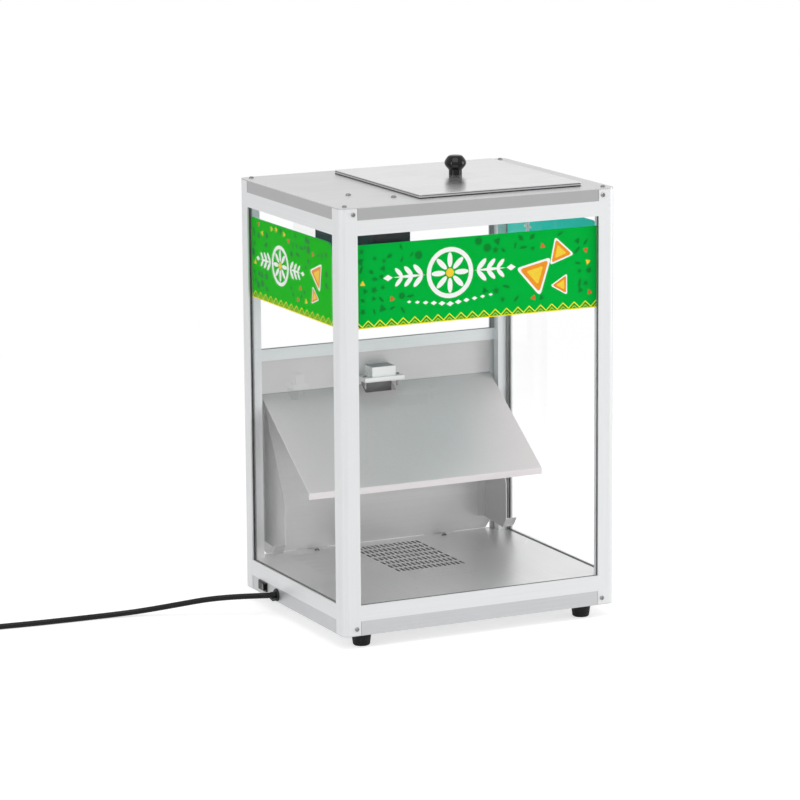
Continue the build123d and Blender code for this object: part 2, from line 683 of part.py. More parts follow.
def catch_screws():
    """The two screws through the base and the ledge, and their nuts."""
    x, y = CATCH_SCREW_AT
    pieces = []
    for side in (-x, x):
        pieces.append(screw(CATCH_SCREW, (side, y, CATCH_Z[1]), CATCH_SHANK))
        pieces.append(nut(CATCH_SCREW, CATCH_NUT, side, y, LEDGE_Z - CATCH_NUT[1]))
    return pieces


# ---------------------------------------------------------------- flap
def flap_panel():
    """The flap's flat sheet, chamfered at the lower corners, its top edge bent out as a finger lip."""
    reach = X - POST - SIDE_GAP
    low, high = FLAP_Z
    across, up = FLAP_CUT
    bend = high - LIP_RISE
    outline = drawn([(-reach + across, low), (reach - across, low), (reach, low + up), (reach, bend),
                     (-reach, bend), (-reach, low + up)])
    panel = extrude(Plane.XZ.offset(-Y) * outline, FOLDED)
    fold = FOLDED / 2 ** 0.5
    tip = Y + FLAP_LIP - fold
    lip = drawn([(Y - FOLDED, bend), (Y, bend), (tip, high - fold), (tip - fold, high)])
    return panel + yz_plate(lip, -reach + across, reach - across)


def lug_top():
    """Height of the stop lug's upper edge in the shut flap: it meets the post when the flap is open."""
    opened = radians(FLAP_OPEN)
    corner_y = WING_FRONT + FOLDED * cos(radians(LUG_LEAN))
    meets = Y - POST_CORE - TOUCH_GAP - AXIS_Y
    corner_z = HINGE_Z + (meets - (corner_y - AXIS_Y) * cos(opened)) / sin(opened)
    return corner_z - FOLDED * sin(radians(LUG_LEAN))


def flap_wing():
    """The left wing: an upright plate, a strip welded to the panel, and the stop lug."""
    low, mid, high = WING_Z
    back = Y - FOLDED
    outer = -WING_X
    front = WING_FRONT
    lug = lug_top()
    foot_y = front + (lug - low) * tan(radians(LUG_LEAN))
    step_y = FOLDED * cos(radians(LUG_LEAN))
    step_z = FOLDED * sin(radians(LUG_LEAN))
    plate = yz_plate(drawn([(back, WING_ROOT), (foot_y, low), (front, lug), (front, mid),
                            (back - 2 * SHEET, high), (back, high)]), outer, outer + FOLDED)
    weld = block(outer, outer + WING_WELD, back - FOLDED, back, WING_ROOT + 2, high - 2)
    stop = yz_plate(drawn([(foot_y, low), (front, lug), (front + step_y, lug + step_z),
                           (foot_y + step_y, low + step_z)]), outer - STOP_LUG, outer + FOLDED)
    short = stop.edges().filter_by(lambda e: abs(e.length - FOLDED) < 0.01)
    corner = short.sort_by_distance((outer - STOP_LUG, foot_y, low))[0]
    return plate + weld + fillet(corner, LUG_CORNER)


def hinge(x):
    """One butt hinge: fixed leaf, moving leaf and pin."""
    half = HINGE_WIDE / 2
    third = HINGE_WIDE / 6
    clear = HINGE_R + 2 * TOUCH_GAP
    neck_y = AXIS_Y - PIN_R - RUNNING_FIT
    fixed = block(x - half, x + half, Y, Y + LEAF, PAN_TOP + 1, HINGE_Z - clear)
    moving = block(x - half, x + half, Y, Y + LEAF, HINGE_Z + clear + LEAF_RISE, HINGE_Z + LEAF_TALL)
    neck = block(x - third, x + third, Y + 0.4, neck_y, HINGE_Z, HINGE_Z + clear + LEAF_RISE + 1)
    barrel = along("x", (x, AXIS_Y, HINGE_Z), HINGE_WIDE, HINGE_R)
    bore = along("x", (x, AXIS_Y, HINGE_Z), HINGE_WIDE + 2, PIN_R + RUNNING_FIT)
    middle = block(x - third, x + third, Y - 5, Y + 20, HINGE_Z - 10, HINGE_Z + 10)
    gap = block(x - third - TOUCH_GAP, x + third + TOUCH_GAP, Y - 5, Y + 20, HINGE_Z - 10, HINGE_Z + 10)
    legs = block(x - half, x + half, Y, neck_y, HINGE_Z - clear - 1, HINGE_Z)
    fixed = fixed + (barrel + legs - gap) - bore
    moving = moving + (barrel & middle) + neck - bore
    pin = along("x", (x, AXIS_Y, HINGE_Z), HINGE_WIDE - 1, PIN_R)
    return fixed, moving, pin


# ---------------------------------------------------------------- feet, fan, heater and wiring gear
def foot():
    """A tapered rubber foot with a recessed fixing hole."""
    x = -X + FOOT_IN[0]
    y = -Y + FOOT_IN[1]
    body = Pos(x, y, -FOOT_TALL / 2) * Cone(FOOT_END / 2, FOOT_TOP / 2, FOOT_TALL)
    body = chamfer(body.edges().group_by(Axis.Z)[0], FOOT_EDGE)
    body -= rod(x, y, -FOOT_TALL - 1, -FOOT_WEB, FOOT_POCKET)
    return body - screw_hole(FOOT_SCREW, x, y, -FOOT_WEB - 1, 1)


def foot_screw():
    x = -X + FOOT_IN[0]
    y = -Y + FOOT_IN[1]
    bolt = screw(FOOT_SCREW, (x, y, -FOOT_WEB), FOOT_WEB + FOOT_NUT[1] + 3 * SHEET, up=-1)
    return [bolt, nut(FOOT_SCREW, FOOT_NUT, x, y, SHEET)]


def fan_frame():
    """A square axial fan frame with a hub on four spokes, and the shaft."""
    x, y = GRILLE
    frame = about(GRILLE, (FAN, FAN, FAN_TALL), SHEET)
    frame = fillet(frame.edges().filter_by(Axis.Z), FAN_RADIUS)
    frame -= rod(x, y, SHEET - 1, SHEET + FAN_TALL + 1, FAN_BORE / 2)
    seat = rod(x, y, SHEET, SHEET + HUB_SEAT, HUB / 2)
    wide, tall = SPOKE
    for turn in range(4):
        arm = Pos(FAN_BORE / 4, 0, 0) * Box(FAN_BORE / 2 + tall, wide, tall)
        seat += Pos(x, y, SHEET + tall / 2) * Rot(0, 0, 45 + 90 * turn) * arm
    shaft = rod(x, y, SHEET + HUB_SEAT, SHEET + HUB_SEAT + SHAFT[1], SHAFT[0])
    return frame + seat + shaft


def fan_rotor():
    """A hub with pitched blades, turning on the shaft."""
    x, y = GRILLE
    low = SHEET + HUB_SEAT + TOUCH_GAP
    high = SHEET + FAN_TALL - 1
    wide, thick, pitch = BLADE
    tip = FAN_BORE / 2 - BLADE_GAP
    root = HUB / 2 - 2
    rotor = rod(x, y, low, high, HUB / 2)
    for n in range(BLADES):
        blade = Pos((root + tip) / 2, 0, 0) * Rot(pitch, 0, 0) * Box(tip - root, wide, thick)
        rotor += Pos(x, y, (low + high) / 2) * Rot(0, 0, n * 360 / BLADES) * blade
    return rotor - rod(x, y, low - 1, SHEET + HUB_SEAT + SHAFT[1] + 1, SHAFT[0] + RUNNING_FIT)


def heater():
    """A square sheet duct between the fan and the floor plate, with hairpin elements across it."""
    x, y = GRILLE
    half = FAN / 2
    z0 = SHEET + FAN_TALL
    z1 = FLOOR_TOP - FOLDED
    inside = FAN - 2 * DUCT_WALL
    duct = about(GRILLE, (FAN, FAN, z1 - z0), z0) - about(GRILLE, (inside, inside, z1), z0 - 1)
    mid = (z0 + z1) / 2
    outer = half + ELEMENT_OUT
    turn = -half + ELEMENT_BEND + ELEMENT_R + 2 * DUCT_WALL
    rods = []
    for row in ELEMENT_ROWS:
        low = row - ELEMENT_BEND
        high = row + ELEMENT_BEND
        path = Line((outer, low), (turn, low)) + Line((turn, high), (outer, high))
        path += ThreePointArc((turn, low), (turn - ELEMENT_BEND, row), (turn, high))
        ring = Plane(origin=(x + outer, y + low, mid), z_dir=(-1, 0, 0)) * Circle(ELEMENT_R)
        rods.append(sweep(ring, path=Plane((x, y, mid)) * path))
        for side in (low, high):
            duct -= along("x", (x + half, y + side, mid), 4 * DUCT_WALL, ELEMENT_R)
    return duct, rods


def thermostat():
    """A thermostat box with its dial, standing on the pan."""
    box = about(THERMOSTAT_AT, THERMOSTAT, SHEET)
    box = fillet(box.edges().filter_by(Axis.Z), THERMOSTAT_EDGE)
    top = SHEET + THERMOSTAT[2]
    return box + rod(*THERMOSTAT_AT, top, top + DIAL[1], DIAL[0])


def terminal_block():
    """Three mains terminals in one block, standing on the pan."""
    x, y = TERMINALS_AT
    body = about(TERMINALS_AT, TERMINALS, SHEET)
    for n in (-1, 0, 1):
        body -= rod(x + n * TERMINAL_PITCH, y, SHEET + TERMINALS[2] / 2, SHEET + TERMINALS[2] + 1, TERMINAL_R)
    return body


def switch_body():
    """Bezel, body and tags of the rocker switch, with the rocker's pivot across its well."""
    y, z = SWITCH_Y, SWITCH_Z
    long, tall = SWITCH_LONG / 2, SWITCH_TALL / 2
    inner_long, inner_tall = long - SWITCH_RIM, tall - SWITCH_RIM
    well_long, well_tall = inner_long - SWITCH_WALL, inner_tall - SWITCH_WALL
    thick, wide, out = SWITCH_TAG
    bezel = block(-X - BEZEL, -X, y - long, y + long, z - tall, z + tall)
    bezel = fillet(bezel.edges().filter_by(Axis.X), SWITCH_RIM)
    end = -X + SWITCH_DEEP
    body = bezel + block(-X, end, y - inner_long, y + inner_long, z - inner_tall, z + inner_tall)
    for side in (-inner_long / 2, inner_long / 2):
        body += block(end, end + out, y + side - thick / 2, y + side + thick / 2, z - wide / 2, z + wide / 2)
    body -= block(-X - BEZEL - 1, -X + SWITCH_WELL, y - well_long, y + well_long, z - well_tall, z + well_tall)
    pivot = well_tall + SWITCH_WALL / 2
    return body + rod(-X + PIVOT_IN, y, z - pivot, z + pivot, PIVOT_R)


def switch_rocker():
    """The V-faced rocker, pressed at its front end."""
    pivot_x = -X + PIVOT_IN
    face = pivot_x - ROCKER_OUT
    rock = radians(ROCK)
    well_long = SWITCH_LONG / 2 - SWITCH_RIM - SWITCH_WALL
    half = (well_long - TOUCH_GAP - ROCKER_OUT * sin(rock)) / cos(rock)
    deep = SWITCH_TALL / 2 - SWITCH_RIM - SWITCH_WALL - TOUCH_GAP
    y = SWITCH_Y
    shape = drawn([(face + half * tan(rock), y), (face, y - half), (pivot_x, y - half), (pivot_x + 2, y),
                   (pivot_x, y + half), (face, y + half)])
    cap = extrude(Plane.XY.offset(SWITCH_Z - deep) * shape, 2 * deep)
    cap -= rod(pivot_x, y, SWITCH_Z - deep - 1, SWITCH_Z + deep + 1, PIVOT_R + RUNNING_FIT)
    return Pos(pivot_x, y, 0) * Rot(0, 0, -ROCK) * Pos(-pivot_x, -y, 0) * cap


def gland():
    """A strain-relief bushing closed on the lead, with a flange, a lower jaw and a lock nut inside."""
    def disc(size, direction=-1):
        r, long = size
        return along("x", (-X + direction * long / 2, GLAND_Y, GLAND_Z), long, r)
    flange = disc(GLAND_FLANGE)
    flange = chamfer(flange.edges().group_by(Axis.X)[0], GLAND_FLANGE[1] * 0.4)
    r = GLAND_JAW[0]
    jaw = disc(GLAND_JAW) & block(-X - 2 * r, -X, GLAND_Y - r, GLAND_Y + r, GLAND_Z - r, GLAND_Z - CORD_R / 2)
    body = flange + disc(GLAND_COLLAR) + jaw + disc(GLAND_BODY, 1)
    nut_r, nut_long = GLAND_NUT
    lock = Plane(origin=(-X + SHEET, GLAND_Y, GLAND_Z), z_dir=(1, 0, 0)) * RegularPolygon(nut_r, 6)
    bore = along("x", (-X, GLAND_Y, GLAND_Z), 4 * GLAND_BODY[1], GLAND_BODY[0] + THREAD_FIT)
    return body, extrude(lock, nut_long) - bore


# ---------------------------------------------------------------- mains lead
def lead_points():
    """The route of the laid stretch, measured from the body's underside."""
    return [(CORD_X + x, GLAND_Y + y, z - FOOT_TALL) for x, y, z in CORD_ROUTE]


def corner_radii(points):
    """The largest tidy arc at each inner point: 0.45 of its shorter run over the tangent of half the turn."""
    found = []
    for a, b, c in zip(points, points[1:], points[2:]):
        turn = radians((Vector(*b) - Vector(*a)).get_angle(Vector(*c) - Vector(*b)))
        found.append(0.45 * min(dist(a, b), dist(b, c)) / tan(turn / 2))
    return found


def cord():
    """The stretch from the gland to the coil: straight runs joined by tangent arcs."""
    points = lead_points()
    radii = corner_radii(points)
    path = FilletPolyline(*points, radius=radii)
    heading = (Vector(*points[1]) - Vector(*points[0])).normalized()
    tube = sweep(Plane(origin=points[0], z_dir=heading) * Circle(CORD_R), path=path)
    print("lead: radii", [round(r) for r in radii], "length", round(path.length, 1))
    print("lead: volume over section times length", round(tube.volume / (pi * CORD_R ** 2 * path.length), 5))
    return tube, path.length


def biarc(start, heading, end, leaving):
    """Two arcs from one point and heading to another, smooth where they meet."""
    v = end - start
    both = heading + leaving
    spare = 2 * (1 - heading.dot(leaving))
    reach = (-v.dot(both) + (v.dot(both) ** 2 + spare * v.dot(v)) ** 0.5) / spare
    middle = ((start + heading * reach) + (end - leaving * reach)) / 2
    first = TangentArc(start, middle, tangent=heading)
    return [first, TangentArc(middle, end, tangent=first % 1)]


def coil_path():
    """In along the lower layer, up one layer in the turn-round, and out again along the upper one."""
    at = Vector(*lead_points()[-1])
    west = Vector(-1, 0, 0)
    edges = [Line(at, at + west * COIL_START)]
    at = at + west * COIL_START
    heading = west
    radii = [COIL_R - n * COIL_PITCH / 2 for n in range(COIL_HALF_TURNS)]
    climb = [(r, 0) for r in radii] + [(CLIMB_R, LAYER)] + [(r, 0) for r in reversed(radii[1:])]
    for r, rise in climb:
        side = Vector(0, 1 if heading.X > 0 else -1, 0)
        end = at + side * 2 * r + Vector(0, 0, rise)
        edges += biarc(at, heading, end, heading * -1)
        at = end
        heading = heading * -1
    end = at + Vector(-COIL_R, -COIL_R, 0)
    edges.append(TangentArc(at, end, tangent=heading))
    edges.append(Line(end, end + Vector(0, -TAIL, 0)))
    return edges


def self_gap(path):
    """The least gap between parts of the coiled lead that are a third of a turn or more apart."""
    count = 720
    points = [path.position_at(n / count) for n in range(count + 1)]
    skip = int(CLIMB_R * 2 * count / path.length)
    least = min((points[a] - points[b]).length for a in range(count) for b in range(a + skip, count + 1))
    return least - 2 * CORD_R


def coil():
    """The put-away length, one unbroken tube in two layers."""
    edges = coil_path()
    path = Wire(edges)
    ring = Plane(origin=edges[0] @ 0, z_dir=(-1, 0, 0)) * Circle(CORD_R)
    tube = sweep(ring, path=path)
    print("coil: length", round(path.length, 1), "least gap to itself", round(self_gap(path), 2))
    print("coil: volume over section times length", round(tube.volume / (pi * CORD_R ** 2 * path.length), 5))
    return tube, path.length, path @ 1


def plug(at):
    """Plug beside the coil, pointing towards the front: tapered relief, body, two blades and an earth pin."""
    wide, long, tall = PLUG
    taper, thin, thick = RELIEF
    front = at.Y - taper - long
    cone = Pos(0, 0, taper / 2) * Cone(CORD_R + thin, CORD_R + thick, taper)
    relief = Plane(origin=at, z_dir=(0, -1, 0)) * cone
    body = about((at.X, front + long / 2), PLUG, at.Z - tall / 2)
    body = chamfer(body.edges(), PLUG_EDGE)
    blade_thick, blade_wide, blade_long = PIN_BLADE
    pins = []
    for side in (-PIN_APART, PIN_APART):
        middle = (at.X + side, front - blade_long / 2)
        pins.append(about(middle, (blade_thick, blade_long, blade_wide), at.Z + PIN_UP - blade_wide / 2))
    r, reach, drop = EARTH
    pins.append(along("y", (at.X, front - reach / 2, at.Z - drop), reach, r))
    return relief + body, pins


# ---------------------------------------------------------------- lamp
def lamp():
    """Housing under the cover, open below and closed by a diffuser, with a tube lamp in two clips."""
    x0, x1 = LAMP_X
    y0, y1 = LAMP_Y
    mid = ((x0 + x1) / 2, (y0 + y1) / 2)
    inside = block(x0 + SHEET, x1 - SHEET, y0 + SHEET, y1 - SHEET, LAMP_Z - 1, TOP - SHEET)
    housing = block(x0, x1, y0, y1, LAMP_Z, TOP) - inside
    for x, y in LAMP_SCREWS:
        housing -= screw_hole(PANEL_SCREW, x, y, TOP - 2 * SHEET, TOP + 1, THREAD_FIT)
    sheet = block(x0 + SHEET, x1 - SHEET, y0 + SHEET, y1 - SHEET, LAMP_Z, LAMP_Z + DIFFUSER)
    tube_r, tube_long, tube_up = TUBE
    half, thick, up = CLIP
    tube = along("y", (*mid, LAMP_Z + tube_up), tube_long, tube_r)
    clips = []
    for y in (mid[1] - CLIP_AT, mid[1] + CLIP_AT):
        clip = block(mid[0] - half, mid[0] + half, y - thick / 2, y + thick / 2, LAMP_Z + up, TOP - SHEET)
        clips.append(clip - along("y", (*mid, LAMP_Z + tube_up), tube_long, tube_r + RUNNING_FIT))
    return housing, sheet, tube, clips


def post_screws():
    """One down each post through the cover, and one up through the pan."""
    top = four(screw(POST_SCREW, (-X + BORE_AT, -Y + BORE_AT, HEIGHT), POST_SHANKS[0]))
    return top + four(screw(POST_SCREW, (-X + BORE_AT, -Y + BORE_AT, 0), POST_SHANKS[1], up=-1))


def skirt_screws():
    """The cross-head screws through the posts' faces into the tabs of the skirts."""
    front = Rot(90, 0, 0) * screw(FACE_SCREW, (0, 0, 0), FACE_SHANK)
    return [s for z in FACE_SCREW_Z for s in four(Pos(-X + FACE_SCREW_IN, -Y, z) * front)]


def panel_screws():
    """Two screws that hold the lamp housing and two that hold the floor plate."""
    places = [(x, y, HEIGHT) for x, y in LAMP_SCREWS]
    places += [(x, Y - FLOOR_SCREW_IN, FLOOR_TOP) for x in (-FLOOR_SCREW_X, FLOOR_SCREW_X)]
    return [screw(PANEL_SCREW, at, PANEL_SHANK) for at in places]


# ---------------------------------------------------------------- write every node
def write_frame():
    corners = ("front_left", "front_right", "back_left", "back_right")
    sides = ("front", "back", "left", "right")
    for name, post in zip(corners, posts()):
        save(f"post_{name}", post)
    for name, bar in zip(sides, four_rails(RAIL_LOW, PAN_TOP)):
        if name == "back":
            for x in (-FLOOR_SCREW_X, FLOOR_SCREW_X):
                bar -= screw_hole(PANEL_SCREW, x, Y - FLOOR_SCREW_IN, FLOOR_TOP - 9, FLOOR_TOP, THREAD_FIT)
        save(f"rail_bottom_{name}", bar)
    for name, bar in zip(sides, four_rails(RAIL_HIGH, TOP_RAIL_Z, True)):
        save(f"rail_top_{name}", bar)
    save("rail_middle_back", middle_rail())
    save("base_pan", base_pan())
    save("top_cover", top_cover())
    save("floor_plate", floor_plate())


def write_glazing():
    save("pane_front", pane_front())
    save("pane_left", pane_left())
    save("pane_right", flip_x(pane_left()))
    save("pane_back", pane_back())
    save("pane_gaskets", *gaskets())
    for name, card in zip(("front", "left", "right"), banners()):
        save(f"banner_{name}", card)


def write_lid_and_deflector():
    save("lid", lid())
    save("lid_knob", lid_knob())
    save("lid_knob_screw", lid_screw())
    save("deflector", deflector())
    magnet, poles = catch_inside()
    save("catch_housing", catch_housing())
    save("catch_magnet", magnet)
    save("catch_pole_plates", *poles)
    save("catch_screws", *catch_screws())


def write_flap():
    save("flap_panel", flap_panel())
    save("flap_wing_left", flap_wing())
    save("flap_wing_right", flip_x(flap_wing()))
    pair = [hinge(-HINGE_X), hinge(HINGE_X)]
    save("hinge_leaves_fixed", *[h[0] for h in pair])
    save("hinge_leaves_moving", *[h[1] for h in pair])
    save("hinge_pins", *[h[2] for h in pair])


def write_base():
    save("feet", *four(foot()))
    save("foot_screws", *[s for piece in foot_screw() for s in four(piece)])
    save("fan_frame", fan_frame())
    save("fan_rotor", fan_rotor())
    duct, rods = heater()
    save("heater_duct", duct)
    save("heater_elements", *rods)
    save("thermostat", thermostat())
    save("terminal_block", terminal_block())
    save("switch_body", switch_body())
    save("switch_rocker", switch_rocker())
    save("cable_gland", *gland())


def write_lamp_and_screws():
    housing, sheet, tube, clips = lamp()
    save("lamp_housing", housing)
    save("lamp_diffuser", sheet)
    save("lamp_tube", tube)
    save("lamp_clips", *clips)
    save("post_screws", *post_screws())
    save("skirt_screws", *skirt_screws())
    save("panel_screws", *panel_screws())


def write_lead():
    tube, laid = cord()
    turns, wound, end = coil()
    body, pins = plug(end)
    save("cord", tube)
    save("cord_coil", turns)
    save("plug_body", body)
    save("plug_pins", *pins)
    print("lead: whole length", round(laid + wound, 1))


os.makedirs("parts", exist_ok=True)
write_frame()
write_glazing()
write_lid_and_deflector()
write_flap()
write_base()
write_lamp_and_screws()
write_lead()
print(len(SAVED), "nodes written")
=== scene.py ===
# %% [markdown]
# # A counter-top chip warmer, dressed in Blender
# The construction model comes first and stays fixed: an extruded frame, glass, folded sheet, a lid, a flap
# and a mains lead, in metres, with +Z up and the glazed front towards -Y. This lesson adds the camera, the
# light, the finishes, the printed cards and the flexible lead around it.

# %% Load the fixed model
from math import cos, pi, radians, sin
from random import Random

import bpy
from mathutils import Matrix, Vector


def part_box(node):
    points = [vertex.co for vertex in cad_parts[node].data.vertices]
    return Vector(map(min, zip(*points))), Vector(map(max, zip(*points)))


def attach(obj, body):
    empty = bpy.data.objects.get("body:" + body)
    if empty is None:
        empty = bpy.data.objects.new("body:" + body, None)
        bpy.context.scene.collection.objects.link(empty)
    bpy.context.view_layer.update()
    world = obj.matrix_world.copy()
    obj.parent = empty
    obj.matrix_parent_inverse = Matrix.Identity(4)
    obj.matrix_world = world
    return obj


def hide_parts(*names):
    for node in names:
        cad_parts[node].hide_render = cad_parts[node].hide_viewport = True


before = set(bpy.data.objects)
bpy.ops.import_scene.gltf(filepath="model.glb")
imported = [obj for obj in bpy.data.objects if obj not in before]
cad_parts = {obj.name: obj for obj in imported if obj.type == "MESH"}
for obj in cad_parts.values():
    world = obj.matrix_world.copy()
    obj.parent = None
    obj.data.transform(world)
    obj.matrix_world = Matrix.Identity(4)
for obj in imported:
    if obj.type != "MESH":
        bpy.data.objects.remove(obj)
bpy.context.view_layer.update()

bpy.ops.object.select_all(action="DESELECT")
scene = bpy.context.scene
scene.view_settings.view_transform = "Standard"

# %% [markdown]
# ## The camera
# A long lens from the front left, a little above the cover. Its place was solved from the photograph's own
# edges, so the frame of the picture is the photograph's frame: 800 pixels on a 36 mm sensor.

# %% Camera
PHOTO_PIXELS = 800
FOCAL_PIXELS = 3941
SENSOR_MM = 36.0
CAMERA_AT = Vector((-2.5151, -5.1302, 1.4716))
AZIMUTH = radians(-25.72)
DOWN = radians(11.43)
ROLL = radians(-0.42)
SEES_AS_FAR_AS = 50


def camera_matrix():
    """Right, up and backward axes of the camera, then its place."""
    forward = Vector((-sin(AZIMUTH) * cos(DOWN), cos(AZIMUTH) * cos(DOWN), -sin(DOWN)))
    level = forward.cross(Vector((0, 0, 1))).normalized()
    upward = level.cross(forward)
    right = cos(ROLL) * level + sin(ROLL) * upward
    up = cos(ROLL) * upward - sin(ROLL) * level
    axes = Matrix((right, up, -forward)).transposed().to_4x4()
    return Matrix.Translation(CAMERA_AT) @ axes


bpy.ops.object.camera_add()
camera = bpy.context.object
camera.name = "camera"
camera.data.sensor_width = SENSOR_MM
camera.data.lens = FOCAL_PIXELS / PHOTO_PIXELS * SENSOR_MM
camera.data.clip_end = SEES_AS_FAR_AS
camera.matrix_world = camera_matrix()
scene.camera = camera
print("lens", round(camera.data.lens, 2), "mm")

# %% [markdown]
# ## The mains lead
# A sheathed lead of 1.8 m. It leaves the gland on the left side, bends back and sinks to the surface, and its
# spare length is wound into a coil of two layers just outside the picture, with the plug beside it. It could be
# a chain of bent cylinders, but a curve with a round bevel stays smooth and keeps its thickness in every bend.
# The curve has the same control points as the fixed model's, so that it lies where the solids lie. The coil's
# turns come from a formula: half circles whose radius shrinks by half a pitch.

# %% Route of the lead
LEAD_D = 0.0085
MM = 0.001
ROUTE_MM = [(-228, 60, 31.5), (-250, 66, 32), (-281, 84, 30), (-314, 101, 26.5), (-346, 119, 19.5),
            (-377, 137, 12.5), (-411, 153, 6.5), (-454, 161, 4.3), (-512, 163.5, 4.3), (-570, 167, 4.3),
            (-622, 173, 4.3), (-658, 175, 4.3), (-690, 175, 4.3)]
COIL_START, COIL_R, COIL_PITCH, CLIMB_R, LAYER, TAIL = 10.0, 56.0, 9.3, 38.1, 9.2, 40.0
COIL_HALF_TURNS = 4
POINTS_PER_HALF_TURN = 8
SMOOTH = 6   # steps along the tube between control points, and round each quarter of it


def half_turn(at, heading_x, radius, rise):
    """Control points of half a circle, spread so that the spline through them keeps the radius."""
    side = 1 if heading_x > 0 else -1
    centre = Vector((at.x, at.y + side * radius, at.z))
    step = pi / POINTS_PER_HALF_TURN
    wide = radius / cos(step / 2)
    points = []
    for n in range(POINTS_PER_HALF_TURN):
        angle = (n + 0.5) * step
        lift = rise * (1 - cos(angle)) / 2
        points.append(centre + Vector((heading_x * wide * sin(angle), -side * wide * cos(angle), lift)))
    return points, centre + Vector((0, side * radius, rise))


def coil_points():
    """In along the lower layer, up in the turn-round, and out along the upper one, then a straight tail."""
    at = Vector(ROUTE_MM[-1]) + Vector((-COIL_START, 0, 0))
    radii = [COIL_R - n * COIL_PITCH / 2 for n in range(COIL_HALF_TURNS)]
    climb = [(r, 0) for r in radii] + [(CLIMB_R, LAYER)] + [(r, 0) for r in reversed(radii[1:])]
    points = []
    heading = -1
    for radius, rise in climb:
        turn, at = half_turn(at, heading, radius, rise)
        points += turn
        heading = -heading
    quarter, _ = half_turn(at, heading, COIL_R, 0)
    points += quarter[:POINTS_PER_HALF_TURN // 2]
    end = at + Vector((-COIL_R, -COIL_R, 0))
    return points + [end + Vector((0, -TAIL / 2, 0)), end + Vector((0, -TAIL, 0))]


def lead_curve(name, points, radius):
    """A smooth open tube in metres round a spline with control points in millimetres."""
    data = bpy.data.curves.new(name, "CURVE")
    data.dimensions = "3D"
    spline = data.splines.new("NURBS")
    spline.points.add(len(points) - 1)
    for slot, point in zip(spline.points, points):
        slot.co = (*(Vector(point) * MM), 1)
        slot.radius = radius
    spline.order_u = 3
    spline.use_endpoint_u = True
    data.resolution_u = SMOOTH
    data.bevel_depth = 1.0
    data.bevel_resolution = SMOOTH
    data.use_fill_caps = True
    piece = bpy.data.objects.new(name, data)
    scene.collection.objects.link(piece)
    return piece


lead = lead_curve("mains_lead", ROUTE_MM + coil_points(), LEAD_D / 2)
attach(lead, "cabinet")
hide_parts("cord", "cord_coil")
print("lead control points", len(lead.data.splines[0].points))

# %% [markdown]
# ## A kit for finishes
# Every finish here is worked out from a place in space, so that it holds for any view of the piece. Four node
# groups carry what several finishes share: drawn or brushed metal, fine grain, the smudges that hands leave,
# and the zigzag border of the printed cards. Each is built once and then placed in a material with its own
# values, as a maker keeps one brush for many jobs. First come the helpers that add and wire nodes.

# %% Small helpers for nodes
def tone(red, green, blue):
    """A colour as the eye reads it, 0 to 255, in the linear values that a shader takes."""
    parts = [v / 255 for v in (red, green, blue)]
    return (*[v / 12.92 if v <= 0.04045 else ((v + 0.055) / 1.055) ** 2.4 for v in parts], 1.0)


def lighter(colour, share):
    """The same colour, lighter or darker by a share."""
    return (*[min(1.0, c * (1 + share)) for c in colour[:3]], 1.0)


def add(tree, kind, inputs=None, **settings):
    """Add a node, set its properties, and fill or wire its inputs."""
    made = tree.nodes.new("ShaderNode" + kind)
    for key, value in settings.items():
        setattr(made, key, value)
    for key, value in (inputs or {}).items():
        if isinstance(value, bpy.types.NodeSocket):
            tree.links.new(value, made.inputs[key])
        else:
            made.inputs[key].default_value = value
    return made


def calc(tree, operation, first, second=0.0):
    """One step of arithmetic on values that change over the surface."""
    return add(tree, "Math", {0: first, 1: second}, operation=operation).outputs[0]


def blend(tree, share, first, second):
    """A colour between two others."""
    return add(tree, "Mix", {0: share, 6: first, 7: second}, data_type="RGBA").outputs[2]


def span(tree, value, low, high):
    """A value from 0 to 1, spread between two limits."""
    return add(tree, "MapRange", {"Value": value, "To Min": low, "To Max": high}).outputs[0]


def new_group(name, takes, gives):
    """An empty node group with named sockets."""
    group = bpy.data.node_groups.new(name, "ShaderNodeTree")
    for label, kind, value in takes:
        socket = group.interface.new_socket(label, in_out="INPUT", socket_type=kind)
        if value is not None:
            socket.default_value = value
    for label in gives:
        group.interface.new_socket(label, in_out="OUTPUT", socket_type="NodeSocketFloat")
    return group, group.nodes.new("NodeGroupInput").outputs, group.nodes.new("NodeGroupOutput").inputs


# %% [markdown]
# ## Group: drawn or brushed metal
# A brushed surface is thousands of scratches side by side. Modelling them would be endless, and a picture of
# them would blur close by, so they are noise that is stretched along one axis, with a cloudy unevenness over
# it. The caller stretches the place, and so chooses which way the lines run.

# %% Group: drawn or brushed metal
STREAK_SHARE = 0.75
BRUSHED, takes, gives = new_group("brushed_metal", [("Along", "NodeSocketVector", None),
                                                    ("Place", "NodeSocketVector", None)], ("Shade", "Height"))
streaks = add(BRUSHED, "TexNoise", {"Vector": takes["Along"], "Scale": 1.0, "Detail": 5.0, "Roughness": 0.62})
clouds = add(BRUSHED, "TexNoise", {"Vector": takes["Place"], "Scale": 9.0, "Detail": 2.0})
sharper = add(BRUSHED, "MapRange", {"Value": streaks.outputs[0], "From Min": 0.28, "From Max": 0.72})
both = calc(BRUSHED, "MULTIPLY_ADD", sharper.outputs[0], STREAK_SHARE)
BRUSHED.links.new(calc(BRUSHED, "MULTIPLY", clouds.outputs[0], 1 - STREAK_SHARE), both.node.inputs[2])
BRUSHED.links.new(both, gives["Shade"])
BRUSHED.links.new(sharper.outputs[0], gives["Height"])

# %% [markdown]
# ## Groups: fine grain, and smudges
# Moulded plastic, rubber, paint and card have a fine grain: specks that vary the colour, and small pits for the
# relief. Smudges are a soft mask that dulls a surface where hands and cloths have been. Metals, mouldings and
# glass all use it, so it is built once.

